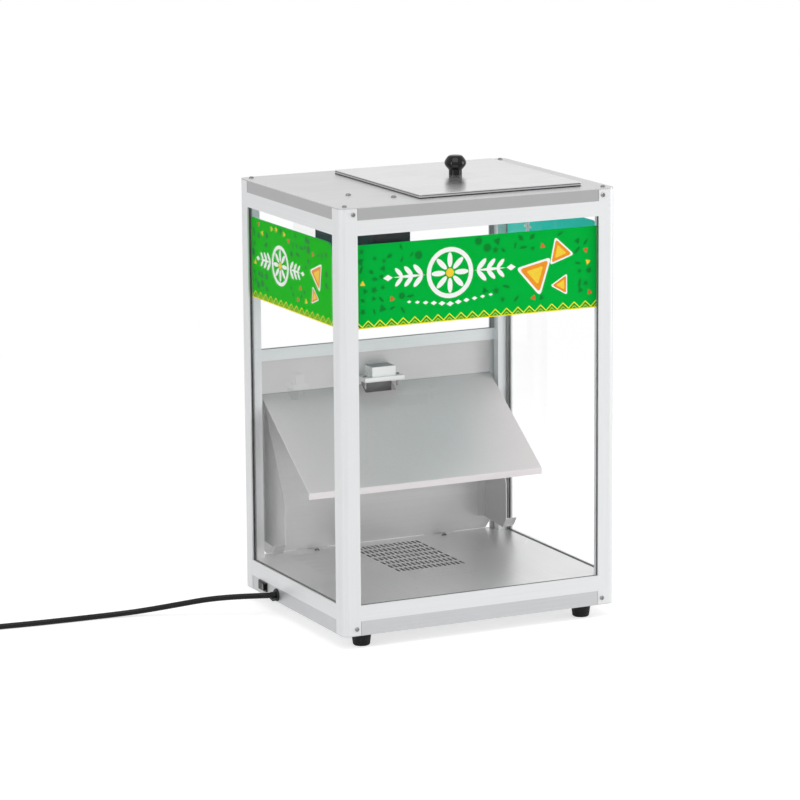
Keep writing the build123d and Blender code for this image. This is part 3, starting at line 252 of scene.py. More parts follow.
# %% Group: fine grain of paint, plastic and rubber
PIT_SHARE = 0.4
GRAIN, takes, gives = new_group("fine_grain", [("Place", "NodeSocketVector", None),
                                               ("Grains per metre", "NodeSocketFloat", 900.0)],
                                ("Shade", "Height"))
specks = add(GRAIN, "TexNoise", {"Vector": takes["Place"], "Scale": takes["Grains per metre"], "Detail": 3.0})
pits = add(GRAIN, "TexVoronoi", {"Vector": takes["Place"], "Scale": takes["Grains per metre"]})
GRAIN.links.new(specks.outputs[0], gives["Shade"])
pitted = calc(GRAIN, "MULTIPLY", pits.outputs[0], PIT_SHARE)
GRAIN.links.new(calc(GRAIN, "ADD", specks.outputs[0], pitted), gives["Height"])

# %% Group: smudges of handling and wiping
SMUDGE, takes, gives = new_group("smudges", [("Place", "NodeSocketVector", None)], ("Mask",))
wiped = add(SMUDGE, "TexNoise", {"Vector": takes["Place"], "Scale": 14.0, "Detail": 4.0, "Distortion": 0.6})
spots = add(SMUDGE, "MapRange", {"Value": wiped.outputs[0], "From Min": 0.42, "From Max": 0.72})
SMUDGE.links.new(spots.outputs[0], gives["Mask"])
print("groups", [g.name for g in bpy.data.node_groups])

# %% [markdown]
# ## Metals, plastics and glass
# Extruded aluminium is drawn lengthwise and then anodised, which leaves a pale satin with very faint lines
# along the bar. Folded sheet keeps the mill's brushing, sharper and more mirror-like. So each metal gets its
# colour, its roughness, how metallic it is, and the direction of its lines. A band tints what lies below a
# height, and a patch what lies between two corners: the shaded folds and skirts that a studio picture shows
# darker than this plain light does. Mouldings and rubber get a grain instead of lines.

# %% Start of every finish
BUMP_DEPTH = 0.0002
LINES_LONG, LINES_FINE = 5, 420   # noise cells per metre along the brushing and across it
LINES_ALONG = {"x": (LINES_LONG, LINES_FINE, LINES_FINE), "y": (LINES_FINE, LINES_LONG, LINES_FINE),
               "z": (LINES_FINE, LINES_FINE, LINES_LONG)}


def start_material(name):
    """A new material with its own shader and its place in space."""
    material = bpy.data.materials.new(name)
    material.use_nodes = True
    tree = material.node_tree
    place = add(tree, "TexCoord").outputs["Object"]
    return material, tree, tree.nodes["Principled BSDF"], place


def smudged(tree, place):
    """The mask of smudges at a place."""
    marks = add(tree, "Group", node_tree=SMUDGE)
    tree.links.new(place, marks.inputs["Place"])
    return marks.outputs["Mask"]


def relief_of(tree, shader, strength, height):
    """Tilt the surface's normal by a height that changes over it."""
    bump = add(tree, "Bump", {"Strength": strength, "Distance": BUMP_DEPTH, "Height": height})
    tree.links.new(bump.outputs[0], shader.inputs["Normal"])


def inside_box(tree, place, low, high):
    """1 between two corners, 0 outside."""
    share = 1.0
    for axis, value in enumerate(add(tree, "SeparateXYZ", {0: place}).outputs):
        share = calc(tree, "MULTIPLY", share, calc(tree, "GREATER_THAN", value, low[axis]))
        share = calc(tree, "MULTIPLY", share, calc(tree, "LESS_THAN", value, high[axis]))
    return share


# %% Maker of metals
POLISH_VARIES = 0.05
SMUDGE_DULLS = 0.06


def metal(name, colour, rough, metallic, along, vary=0.06, relief=0.04, bands=(), patch=None):
    """Brushed metal with its lines along one axis. Bands paint light and shade below a height, a patch between two
    corners.
    """
    material, tree, shader, place = start_material(name)
    lines = add(tree, "Mapping", {"Vector": place, "Scale": LINES_ALONG[along]}).outputs[0]
    brush = add(tree, "Group", node_tree=BRUSHED)
    tree.links.new(lines, brush.inputs["Along"])
    tree.links.new(place, brush.inputs["Place"])
    marks = smudged(tree, place)
    base = blend(tree, brush.outputs["Shade"], lighter(colour, -vary), lighter(colour, vary))
    height = add(tree, "SeparateXYZ", {0: place}).outputs[2]
    # the bands and the patch paint light and shade into the base colour
    for top, tint in bands:
        base = blend(tree, calc(tree, "LESS_THAN", height, top), base, tint)
    if patch:
        low, high, tint = patch
        base = blend(tree, inside_box(tree, place, low, high), base, tint)
    tree.links.new(base, shader.inputs["Base Color"])
    polish = span(tree, brush.outputs["Shade"], rough + POLISH_VARIES, rough - POLISH_VARIES)
    dulled = calc(tree, "MULTIPLY", marks, SMUDGE_DULLS)
    tree.links.new(calc(tree, "ADD", polish, dulled), shader.inputs["Roughness"])
    relief_of(tree, shader, relief, brush.outputs["Height"])
    shader.inputs["Metallic"].default_value = metallic
    return material


# %% Maker of mouldings
HANDLING_DULLS = 0.08


def moulding(name, colour, rough, grains=900.0, vary=0.12, relief=0.15, shine=0.5):
    """Plastic, paint, rubber or ink with a fine grain."""
    material, tree, shader, place = start_material(name)
    grain = add(tree, "Group", node_tree=GRAIN)
    tree.links.new(place, grain.inputs["Place"])
    grain.inputs["Grains per metre"].default_value = grains
    marks = smudged(tree, place)
    base = blend(tree, grain.outputs["Shade"], lighter(colour, -vary), lighter(colour, vary))
    tree.links.new(base, shader.inputs["Base Color"])
    tree.links.new(span(tree, marks, rough, rough + HANDLING_DULLS), shader.inputs["Roughness"])
    relief_of(tree, shader, relief, grain.outputs["Height"])
    shader.inputs["Specular IOR Level"].default_value = shine
    return material


# %% [markdown]
# ## Glass
# A clean pane hardly dims what stands behind it, and bends it by less than can be seen. So rays of shadow, of
# diffuse light and of reflections pass straight through. A sheer pane also lets the camera's rays straight
# through, all but the share that it mirrors, which grows as the view gets flatter, and its back face never
# mirrors to the camera. It therefore reflects less than a real pane does.

# %% Maker of glass
GLASS_IOR = 1.45
MIRROR_BLEND = 0.22
WIPE_TINTS, WIPE_DULLS = 0.01, 0.004


def clear(name, colour, rough, through=1.0, sheer=0.0):
    """Clear or frosted glass with faint wiping marks."""
    material, tree, shader, place = start_material(name)
    marks = smudged(tree, place)
    base = blend(tree, marks, colour, lighter(colour, -WIPE_TINTS))
    tree.links.new(base, shader.inputs["Base Color"])
    tree.links.new(span(tree, marks, rough, rough + WIPE_DULLS), shader.inputs["Roughness"])
    shader.inputs["Transmission Weight"].default_value = through
    shader.inputs["IOR"].default_value = GLASS_IOR
    paths = add(tree, "LightPath").outputs
    straight = calc(tree, "MAXIMUM", paths["Is Shadow Ray"], paths["Is Diffuse Ray"])
    straight = calc(tree, "MAXIMUM", straight, paths["Is Glossy Ray"])
    mirrored = add(tree, "LayerWeight", {"Blend": MIRROR_BLEND}).outputs["Fresnel"]
    calm = calc(tree, "MULTIPLY", calc(tree, "SUBTRACT", 1.0, mirrored), sheer)
    behind = add(tree, "NewGeometry").outputs["Backfacing"]
    calm = add(tree, "Mix", {0: behind, 2: calm, 3: paths["Is Camera Ray"]}, data_type="FLOAT").outputs[0]
    see_through = add(tree, "BsdfTransparent")
    passing = add(tree, "MixShader")
    tree.links.new(calc(tree, "MAXIMUM", straight, calm), passing.inputs[0])
    tree.links.new(shader.outputs[0], passing.inputs[1])
    tree.links.new(see_through.outputs[0], passing.inputs[2])
    tree.links.new(passing.outputs[0], tree.nodes["Material Output"].inputs["Surface"])
    return material


# %% [markdown]
# ## Where painted light and shade go
# The lid's turned-down rim gets three thin painted lines: a dark fold, a lighter side, and a dark painted shadow
# in the gap over the cover. The cover's skirt, the deflector's upright sheet and the flap's inner face under the
# catch get painted shade, and the catch is painted light below its top face, which keeps a darker grey. These are
# painted into the colour, so they stay when the lamps move. Most of their places come from the fixed model's own
# boxes, so they follow the pieces.

# %% Bands and patches of painted light and shade
COVER_TOP, LID_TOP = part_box("lid")[0][2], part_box("lid")[1][2]
# painted shade on the lid's rim: a dark fold line, a lighter side, and a dark painted shadow over the cover
LID_FOLD, LID_SIDE, LID_GAP = 0.0010, 0.0024, 0.0014
LID_RIM_PAINTED_SHADE = [(LID_TOP - LID_FOLD, tone(120, 120, 121)), (LID_TOP - LID_SIDE, tone(196, 196, 197)),
           (COVER_TOP + LID_GAP, tone(62, 62, 63))]
# below this height the cover's skirt is painted darker, as shade
SKIRT_TOP = COVER_TOP - 0.0015
# below this height the catch is painted light, and its top face keeps a darker grey: painted light and shade
CATCH_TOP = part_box("catch_housing")[1][2] - 0.0004
PAST = 1   # beyond the object on any side
# the deflector's upright sheet is painted darker, as shade
UPRIGHT_DEEP, UPRIGHT_FOOT = 0.0025, 0.305
UPRIGHT_PAINTED_SHADE = ((-PAST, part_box("deflector")[1][1] - UPRIGHT_DEEP, UPRIGHT_FOOT), (PAST, PAST, PAST),
           tone(203, 200, 201))
# a dark patch of painted shade on the flap's inner face under the catch
FLAP_SHADE_HALF, FLAP_SHADE_DROP, INTO_SHEET = 0.026, 0.014, 0.0004
FLAP_PAINTED_SHADE = ((-FLAP_SHADE_HALF, 0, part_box("catch_screws")[0][2] - FLAP_SHADE_DROP),
          (FLAP_SHADE_HALF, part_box("flap_panel")[0][1] + INTO_SHEET, PAST), tone(108, 108, 108))

# %% The finishes themselves
ANODISED = tone(226, 227, 228)
FINISH = {
    "post": metal("anodised_upright", ANODISED, 0.42, 0.35, "z", vary=0.03),
    "rail_across": metal("anodised_across", ANODISED, 0.42, 0.35, "x", vary=0.03),
    "rail_deep": metal("anodised_deep", ANODISED, 0.42, 0.35, "y", vary=0.03),
    "pan": metal("pan_sheet", tone(196, 197, 199), 0.38, 0.5, "x"),
    # cover: its skirt painted darker, as shade
    "cover": metal("cover_sheet", tone(204, 204, 205), 0.34, 0.5, "x", bands=[(SKIRT_TOP, tone(172, 172, 173))]),
    # lid: painted shade lines on its rim
    "lid": metal("lid_sheet", tone(210, 210, 211), 0.20, 0.90, "x", bands=LID_RIM_PAINTED_SHADE),
    "floor": metal("brushed_floor", tone(230, 230, 230), 0.31, 0.72, "y", vary=0.02, relief=0.002),
    # slope: its upright sheet painted darker, as shade
    "slope": metal("brushed_slope", tone(229, 223, 224), 0.46, 0.58, "y", vary=0.02, relief=0.01, patch=UPRIGHT_PAINTED_SHADE),
    # flap: painted shade on its inner face under the catch
    "flap": metal("brushed_flap", tone(208, 208, 208), 0.36, 0.60, "x", vary=0.03, relief=0.01, patch=FLAP_PAINTED_SHADE),
    "zinc": metal("zinc_plate", tone(140, 140, 139), 0.24, 1.0, "x", vary=0.10),
    # catch: painted light below its top face, painted shade on the top
    "catch": metal("catch_aluminium", tone(140, 140, 140), 0.30, 0.6, "x",
                   bands=[(CATCH_TOP, tone(240, 240, 240))]),
    "duct": metal("duct_steel", tone(150, 150, 150), 0.40, 1.0, "z", vary=0.10),
    "element": metal("element_steel", tone(104, 98, 92), 0.45, 1.0, "x", vary=0.18),
    "brass": metal("pin_brass", tone(206, 184, 120), 0.28, 1.0, "y", vary=0.08),
    "magnet": moulding("magnet_ferrite", tone(60, 60, 62), 0.55, vary=0.2),
    "gasket": moulding("gasket_rubber", tone(132, 132, 133), 0.6),
    "rubber": moulding("foot_rubber", tone(22, 22, 23), 0.55, grains=1400.0, relief=0.25, shine=0.25),
    "gloss_black": moulding("gloss_black", tone(6, 6, 7), 0.06, grains=400.0, relief=0.0, shine=0.28),
    "switch": moulding("switch_plastic", tone(20, 20, 21), 0.25, grains=1600.0, relief=0.05, shine=0.3),
    "plastic": moulding("black_plastic", tone(24, 24, 25), 0.42, grains=1600.0, shine=0.3),
    "sheath": moulding("lead_sheath", tone(9, 9, 10), 0.30, grains=1800.0, relief=0.06, shine=0.25),
    "lamp_paint": moulding("lamp_paint", tone(40, 40, 42), 0.45, grains=1500.0),
    "terminal": moulding("terminal_plastic", tone(222, 219, 208), 0.40),
    "glass": clear("clear_glass", (0.995, 1.0, 0.998, 1.0), 0.0, sheer=0.97),
    "opal": clear("opal_glass", (0.93, 0.93, 0.90, 1.0), 0.35, through=0.6),
}
print("finishes", len(FINISH))

# %% [markdown]
# ## Every piece gets its finish
# The fixed model's pieces keep their shapes and only change their material. The list goes by the piece's name,
# and a piece that the list forgets stops the script, so that nothing is left with a plain colour.

# %% Hand out the finishes
FINISH_OF = {
    "post": "post_front_left post_front_right post_back_left post_back_right",
    "rail_across": "rail_bottom_front rail_bottom_back rail_top_front rail_top_back rail_middle_back",
    "rail_deep": "rail_bottom_left rail_bottom_right rail_top_left rail_top_right",
    "pan": "base_pan", "cover": "top_cover", "lid": "lid", "floor": "floor_plate", "slope": "deflector",
    "flap": "flap_panel flap_wing_left flap_wing_right",
    "zinc": "lid_knob_screw catch_screws foot_screws post_screws skirt_screws panel_screws catch_pole_plates"
            " hinge_leaves_fixed hinge_leaves_moving hinge_pins lamp_clips",
    "catch": "catch_housing", "duct": "heater_duct", "element": "heater_elements", "brass": "plug_pins",
    "magnet": "catch_magnet", "gasket": "pane_gaskets", "rubber": "feet", "gloss_black": "lid_knob",
    "switch": "switch_body switch_rocker", "plastic": "cable_gland fan_frame fan_rotor",
    "sheath": "cord cord_coil plug_body", "lamp_paint": "lamp_housing", "terminal": "thermostat terminal_block",
    "glass": "pane_front pane_left pane_right pane_back", "opal": "lamp_diffuser lamp_tube",
}
finish_of_node = {name: key for key, names in FINISH_OF.items() for name in names.split()}
for name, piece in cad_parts.items():
    if not name.startswith("banner_"):
        for index in range(len(piece.data.materials)):
            piece.data.materials[index] = FINISH[finish_of_node[name]]
lead.data.materials.append(FINISH["sheath"])
print("pieces with a finish", len(finish_of_node))

# %% [markdown]
# ## The printed cards
# Behind the glass hang three printed cards: a green ground with small darker motifs and bright confetti, a
# zigzag border over a yellow edge, and a plain teal back. The ground and the border are flat print, so they
# belong to the card's material and not to its shape. The border is a triangle wave worked out from the distance
# along the card, with a second, thinner line under it, and it stays sharp however close the camera comes.

# %% Group: zigzag border
PERIOD = 0.01836
PEAK = 0.0085
BORDER_FOOT = 0.0022
LINE_HALF = 0.0009
INNER_DROP, INNER_HALF = 0.0052, 0.0005
EDGE_TALL = 0.0016
ZIGZAG, takes, gives = new_group("zigzag_border", [("Along", "NodeSocketFloat", 0.0),
                                                   ("Up", "NodeSocketFloat", 0.0)], ("Line", "Fill", "Edge"))
wave = calc(ZIGZAG, "PINGPONG", takes["Along"], PERIOD / 2)
rise = calc(ZIGZAG, "MULTIPLY_ADD", wave, 2 * PEAK / PERIOD)
rise.node.inputs[2].default_value = BORDER_FOOT
above = calc(ZIGZAG, "SUBTRACT", takes["Up"], rise)
outer_line = calc(ZIGZAG, "LESS_THAN", calc(ZIGZAG, "ABSOLUTE", above), LINE_HALF)
lower = calc(ZIGZAG, "ABSOLUTE", calc(ZIGZAG, "ADD", above, INNER_DROP))
inner_line = calc(ZIGZAG, "LESS_THAN", lower, INNER_HALF)
ZIGZAG.links.new(calc(ZIGZAG, "MAXIMUM", outer_line, inner_line), gives["Line"])
ZIGZAG.links.new(calc(ZIGZAG, "LESS_THAN", above, 0.0), gives["Fill"])
ZIGZAG.links.new(calc(ZIGZAG, "LESS_THAN", takes["Up"], EDGE_TALL), gives["Edge"])

# %% The cards' material
BORDER_SHADE = 0.6
GROUND_VARIES, BACK_VARIES = 0.06, 0.05
CARD_SHINE, CARD_SMOOTHEST, CARD_ROUGHEST = 0.02, 0.40, 0.50
LEAF_GREEN, SIDE_GREEN, TEAL = tone(0, 178, 60), tone(0, 186, 8), tone(72, 254, 232)
YELLOW, LIME, DEEP_GREEN = tone(240, 228, 16), tone(250, 246, 60), tone(0, 128, 36)


def card_material(name, ground, axis, inside_from, sign):
    """A printed card: ground and border outside, teal inside, split at the middle of its thickness."""
    material, tree, shader, place = start_material(name)
    parts = add(tree, "SeparateXYZ", {0: place}).outputs
    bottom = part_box("banner_front")[0][2]
    border = add(tree, "Group", node_tree=ZIGZAG)
    tree.links.new(parts[axis], border.inputs["Along"])
    tree.links.new(calc(tree, "SUBTRACT", parts[2], bottom), border.inputs["Up"])
    grain = add(tree, "Group", node_tree=GRAIN)
    tree.links.new(place, grain.inputs["Place"])
    printed = blend(tree, grain.outputs["Shade"], lighter(ground, -GROUND_VARIES), lighter(ground, GROUND_VARIES))
    printed = blend(tree, calc(tree, "MULTIPLY", border.outputs["Fill"], BORDER_SHADE), printed, DEEP_GREEN)
    printed = blend(tree, border.outputs["Line"], printed, LIME)
    printed = blend(tree, border.outputs["Edge"], printed, YELLOW)
    inside = calc(tree, "GREATER_THAN", calc(tree, "MULTIPLY", parts[1 - axis], sign), inside_from * sign)
    back = blend(tree, grain.outputs["Shade"], lighter(TEAL, -BACK_VARIES), lighter(TEAL, BACK_VARIES))
    tree.links.new(blend(tree, inside, printed, back), shader.inputs["Base Color"])
    tree.links.new(span(tree, grain.outputs["Shade"], CARD_SMOOTHEST, CARD_ROUGHEST), shader.inputs["Roughness"])
    shader.inputs["Specular IOR Level"].default_value = CARD_SHINE
    return material


def middle_of(node, axis):
    """The middle of a piece's box along one axis."""
    low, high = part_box(node)
    return (low[axis] + high[axis]) / 2


CARD_FINISH = {
    "banner_front": card_material("printed_front", LEAF_GREEN, 0, middle_of("banner_front", 1), 1),
    "banner_left": card_material("printed_left", SIDE_GREEN, 1, middle_of("banner_left", 0), 1),
    "banner_right": card_material("printed_right", SIDE_GREEN, 1, middle_of("banner_right", 0), -1),
}
for name, material in CARD_FINISH.items():
    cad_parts[name].data.materials[0] = material
print("cards", list(CARD_FINISH))

# %% [markdown]
# ## Motifs on the cards
# The inks are real flat shapes, 0.06 to 0.2 mm thick, so they stay crisp at any size, and where two overlap the
# thicker one shows. A picture on the card would be quicker, and blurred close by. Each motif is a circle with few
# corners: every second corner pulled in makes a star, a bevelled triangle makes a chip, and an inset with its
# middle taken out makes a ring. One of each is modelled, and then stamped over the card by copies, each with its
# own mesh, which are joined by colour.

# %% Model one of each motif
INK = 0.0001


def leave_all():
    """Deselect every object."""
    bpy.ops.object.select_all(action="DESELECT")


def flat_motif(name, corners, wide=1.0, tall=1.0, pull=1.0, corner_round=0.0, ring=0.0):
    """A flat shape one unit across: corners, share kept by every second one, rounding and ring."""
    leave_all()
    bpy.ops.mesh.primitive_circle_add(vertices=corners, radius=0.5, fill_type="NGON")
    shape = bpy.context.object
    shape.name = name
    bpy.ops.object.mode_set(mode="EDIT")
    if pull < 1.0:
        bpy.ops.mesh.select_mode(type="VERT")
        bpy.ops.mesh.select_all(action="DESELECT")
        bpy.ops.object.mode_set(mode="OBJECT")
        for index, vertex in enumerate(shape.data.vertices):
            vertex.select = index % 2 == 1
        bpy.ops.object.mode_set(mode="EDIT")
        bpy.ops.transform.resize(value=(pull, pull, 1))
    bpy.ops.mesh.select_all(action="SELECT")
    if corner_round:
        bpy.ops.mesh.bevel(offset=corner_round, segments=3, affect="VERTICES")
        bpy.ops.mesh.select_all(action="SELECT")
    if ring:
        bpy.ops.mesh.inset(thickness=ring, depth=0)
        bpy.ops.mesh.delete(type="FACE")
        bpy.ops.mesh.select_all(action="SELECT")
    bpy.ops.transform.resize(value=(wide, tall, 1))
    bpy.ops.mesh.extrude_region_move(TRANSFORM_OT_translate={"value": (0, 0, 1)})
    bpy.ops.mesh.select_all(action="SELECT")
    bpy.ops.mesh.normals_make_consistent(inside=False)
    bpy.ops.object.mode_set(mode="OBJECT")
    return shape


MOTIF = {
    "chip": flat_motif("motif_chip", 3, corner_round=0.10),
    "sun": flat_motif("motif_sun", 24, pull=0.74),
    "star": flat_motif("motif_star", 10, pull=0.42),
    "petal": flat_motif("motif_petal", 12, tall=0.36),
    "lozenge": flat_motif("motif_lozenge", 4, wide=0.62),
    "dot": flat_motif("motif_dot", 16),
    "ring": flat_motif("motif_ring", 28, ring=0.09),
    "bar": flat_motif("motif_bar", 4, wide=1.0, tall=0.10),
}
print("motifs", list(MOTIF))

# %% [markdown]
# ## Inks, and how to stamp
# Each ink is its own moulding finish with a very fine grain. A stamp works in the card's own plane: along its
# foot, up from it and out of its face, in millimetres, as one would measure on the real card. An ink sits a
# little into the card and stands a little out of it, the white lower than the orange, and the yellow highest.

# %% Inks
INKS = {
    "white": moulding("ink_white", tone(246, 247, 244), 0.38, grains=700.0, vary=0.02, relief=0.02),
    "orange": moulding("ink_orange", tone(240, 150, 36), 0.38, grains=300.0, vary=0.16, relief=0.02, shine=0.1),
    "yellow": moulding("ink_yellow", tone(246, 208, 60), 0.38, grains=300.0, vary=0.10, relief=0.02, shine=0.1),
    "rust": moulding("ink_rust", tone(206, 104, 48), 0.40, grains=500.0, vary=0.08, relief=0.02, shine=0.1),
    "shade": moulding("ink_shade", tone(0, 130, 44), 0.45, grains=500.0, vary=0.06, relief=0.02, shine=0.08),
}
LAYER_OF = {"shade": 0.6, "rust": 0.8, "white": 1.1, "orange": 1.6, "yellow": 2.0}
MOTIF_LIFT = {"bar": -0.2, "lozenge": 0.2}
INTO_CARD = 0.5
print("inks", {ink: f"{INK / MM * layer:.2f} mm" for ink, layer in LAYER_OF.items()})


# %% Stamp on a card
def card_plane(node, inside=False):
    """Origin at the card's lower corner, then the directions to the right, up and out of its face."""
    (x0, y0, z0), (x1, y1, _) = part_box(node)
    faces = {
        ("banner_front", False): ((x0, y0, z0), (1, 0, 0), (0, -1, 0)),
        ("banner_front", True): ((x1, y1, z0), (-1, 0, 0), (0, 1, 0)),
        ("banner_left", False): ((x0, y1, z0), (0, -1, 0), (-1, 0, 0)),
        ("banner_left", True): ((x1, y0, z0), (0, 1, 0), (1, 0, 0)),
        ("banner_right", False): ((x1, y0, z0), (0, 1, 0), (1, 0, 0)),
        ("banner_right", True): ((x0, y1, z0), (0, -1, 0), (-1, 0, 0)),
    }
    origin, right, out = faces[node, inside]
    axes = Matrix((Vector(right), Vector((0, 0, 1)), Vector(out))).transposed().to_4x4()
    return Matrix.Translation(origin) @ axes


def stamp(plane, motif, ink, along, up, size, turn=0.0):
    """One copy of a motif on a card, in millimetres from the card's lower corner."""
    copy = MOTIF[motif].copy()
    copy.data = MOTIF[motif].data.copy()
    scene.collection.objects.link(copy)
    place = Matrix.Translation((along * MM, up * MM, -INK * INTO_CARD)) @ Matrix.Rotation(radians(turn), 4, "Z")
    thick = INK * (LAYER_OF[ink] + MOTIF_LIFT.get(motif, 0) + INTO_CARD)
    grow = Matrix.Diagonal((size * MM, size * MM, thick, 1))
    copy.data.transform(plane @ place @ grow)
    return ink, copy


# %% Join the stamps of each ink
def join_by_ink(label, stamped):
    """Join the stamps of each ink into one piece that rides on the cabinet."""
    for ink in INKS:
        pieces = [copy for kind, copy in stamped if kind == ink]
        if not pieces:
            continue
        leave_all()
        for copy in pieces:
            copy.select_set(True)
        bpy.context.view_layer.objects.active = pieces[0]
        if len(pieces) > 1:
            bpy.ops.object.join()
        printed = bpy.context.view_layer.objects.active
        printed.name = f"print_{label}_{ink}"
        printed.data.name = printed.name
        printed.data.materials.clear()
        printed.data.materials.append(INKS[ink])
        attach(printed, "cabinet")


# %% [markdown]
# ## Laying out the cards
# The small motifs are scattered on a jittered grid from a fixed seed, so that each run gives the same card, and
# they keep clear of the large ornament and of the border. The ornament is a rosette between two sprays of
# petals, and beside it lie a few corn chips with a white rim.

# %% Scatter
SMALL = ("petal", "star", "lozenge", "sun", "petal", "chip", "star")
SMALLEST, LARGEST, CONFETTI = 9.0, 15.0, 10.0
STEP_MM = 15.0
JITTER = 0.28
BRIGHT_SHARE = 0.16
LEFT_EDGE, BORDER_TALL, RIGHT_EDGE, TOP_EDGE = 3, 16, 6, 7
ROWS_SHORT = 10   # the rows of the grid fill the card's height less this


def scatter(plane, wide, tall, keep_out, seed):
    """Small darker motifs over the ground, and confetti between them."""
    dice = Random(seed)
    found = []
    for row in range(int((tall - ROWS_SHORT) // STEP_MM)):
        for column in range(int(wide // STEP_MM)):
            along = (column + 0.5 + dice.uniform(-JITTER, JITTER)) * STEP_MM + LEFT_EDGE
            up = (row + 0.5 + dice.uniform(-JITTER, JITTER)) * STEP_MM + BORDER_TALL
            motif, turn, size = dice.choice(SMALL), dice.uniform(0, 360), dice.uniform(SMALLEST, LARGEST)
            bright, colour = dice.random() < BRIGHT_SHARE, dice.choice(("rust", "yellow"))
            if along > wide - RIGHT_EDGE or up > tall - TOP_EDGE:
                continue
            if any(a0 < along < a1 and u0 < up < u1 for a0, u0, a1, u1 in keep_out):
                continue
            if bright:
                found.append(stamp(plane, "chip", colour, along, up, CONFETTI, turn))
            else:
                found.append(stamp(plane, motif, "shade", along, up, size, turn))
    return found


# %% Ornaments: rosette, spray and corn chip
PETALS = 8
# shares of the whole ornament's size, and the turn of a leaf in degrees
HEART, PETAL_OUT, PETAL_LONG = 0.17, 0.25, 0.30
FIRST_LEAF, LEAF_STEP, LEAF_LESS, LEAF_OUT, LEAF_LONG, LEAF_TURN = 0.7, 0.56, 0.09, 0.30, 0.78, 48
STEM_OUT, STEM_LONG, TIP_OUT, TIP_PAST, TIP_SIZE = 0.30, 0.62, 0.60, 0.35, 0.55
CHIP_RIM, CHIP_HEART = 1.22, 0.58


def round_place(along, up, reach, angle):
    """A place at an angle in degrees round another."""
    return along + reach * cos(radians(angle)), up + reach * sin(radians(angle))


def rosette(plane, along, up, size):
    """A white flower in a ring, with a yellow heart."""
    found = [stamp(plane, "ring", "white", along, up, size), stamp(plane, "dot", "yellow", along, up, size * HEART)]
    for n in range(PETALS):
        angle = n * 360 / PETALS
        found.append(stamp(plane, "petal", "white", *round_place(along, up, size * PETAL_OUT, angle),
                           size * PETAL_LONG, angle))
    return found


def spray(plane, along, up, side, count, size):
    """A row of petals in pairs along a stem, getting smaller outwards."""
    found = [stamp(plane, "bar", "white", along + side * count * size * STEM_OUT, up, count * size * STEM_LONG)]
    for n in range(count):
        place = along + side * (n + FIRST_LEAF) * size * LEAF_STEP
        leaf = size * (1 - LEAF_LESS * n)
        for lift in (-1, 1):
            found.append(stamp(plane, "petal", "white", place, up + lift * leaf * LEAF_OUT, leaf * LEAF_LONG,
                               lift * side * LEAF_TURN))
    tip = along + side * (count * TIP_OUT + TIP_PAST) * size
    return found + [stamp(plane, "lozenge", "white", tip, up, size * TIP_SIZE, 90)]


def corn_chip(plane, along, up, size, turn):
    """A corn chip: a white rim, a toasted middle and a lighter heart."""
    return [stamp(plane, "chip", "white", along, up, size * CHIP_RIM, turn),
            stamp(plane, "chip", "orange", along, up, size, turn),
            stamp(plane, "chip", "yellow", along, up, size * CHIP_HEART, turn)]


# %% Front card, in millimetres from its lower left corner
PRINT_TALL = 120
FRONT_WIDE = 385.6
LEAVES = 3   # pairs on each spray
FRONT_FLOWER, FLOWER_UP, SPRAY_FROM, FRONT_SIZE, FRONT_LEAF = 148, 70, 40, 74, 27
ARC_HALF, ARC_STEP, ARC_UP, ARC_RISE, ARC_SIZE = 5, 13, 25, 1.6, 12
FRONT_CLEAR = [(104, 22, 192, 114), (44, 46, 252, 94), (76, 18, 220, 38), (250, 24, 316, 92), (300, 62, 350, 110),
               (308, 18, 350, 58)]
FRONT_CHIPS = [(286, 57, 56, 72), (325, 86, 40, 18), (328, 38, 30, -30)]   # along, up, size, turn

front = card_plane("banner_front")
stamped = scatter(front, FRONT_WIDE, PRINT_TALL, FRONT_CLEAR, seed=11)
stamped += rosette(front, FRONT_FLOWER, FLOWER_UP, FRONT_SIZE)
for side in (1, -1):
    stamped += spray(front, FRONT_FLOWER + side * SPRAY_FROM, FLOWER_UP, side, LEAVES, FRONT_LEAF)
for n in range(-ARC_HALF, ARC_HALF + 1):   # an arc of lozenges under the flower
    stamped.append(stamp(front, "lozenge", "white", FRONT_FLOWER + ARC_STEP * n, ARC_UP + abs(n) * ARC_RISE,
                         ARC_SIZE - abs(n), 90))
for chip in FRONT_CHIPS:
    stamped += corn_chip(front, *chip)
join_by_ink("front", stamped)

# %% Side cards: seed, flower, place kept clear for the chips, and the chips
SIDE_WIDE, SIDE_UP, SIDE_SPRAY_FROM, SIDE_SIZE, SIDE_LEAF = 270, 61, 32, 60, 22
SIDE_PRINT = {
    "left": (23, 102, (204, 18, 262, 94), [(231, 66, 42, 80), (221, 34, 26, 20)]),
    "right": (37, 181, (21, 18, 83, 94), [(52, 66, 42, 80), (62, 34, 26, 20)]),
}
for name, (seed, middle, chips_clear, chips) in SIDE_PRINT.items():
    plane = card_plane(f"banner_{name}")
    clear_of = [(middle - 35, 22, middle + 35, 98), (middle - 88, 40, middle + 88, 84), chips_clear]
    stamped = scatter(plane, SIDE_WIDE, PRINT_TALL, clear_of, seed)
    stamped += rosette(plane, middle, SIDE_UP, SIDE_SIZE)
    for side in (1, -1):
        stamped += spray(plane, middle + side * SIDE_SPRAY_FROM, SIDE_UP, side, LEAVES, SIDE_LEAF)
    for chip in chips:
        stamped += corn_chip(plane, *chip)
    join_by_ink(name, stamped)

# %% [markdown]
# ## Backs of the cards
# From inside, and from behind, the cards show a plain teal back with a few small white flowers. The right card
# has one more, where the camera looks over the top of the front card.

# %% Backs of the cards
FLOWER_WIDE, FLOWER_LOW, FLOWER_HIGH = 12, 60, 100
BACK_FLOWERS = {"banner_front": (60, 190, 320), "banner_left": (50, 200), "banner_right": (60, 215)}
SEEN_Y, SEEN_Z = 0.083, 0.5485


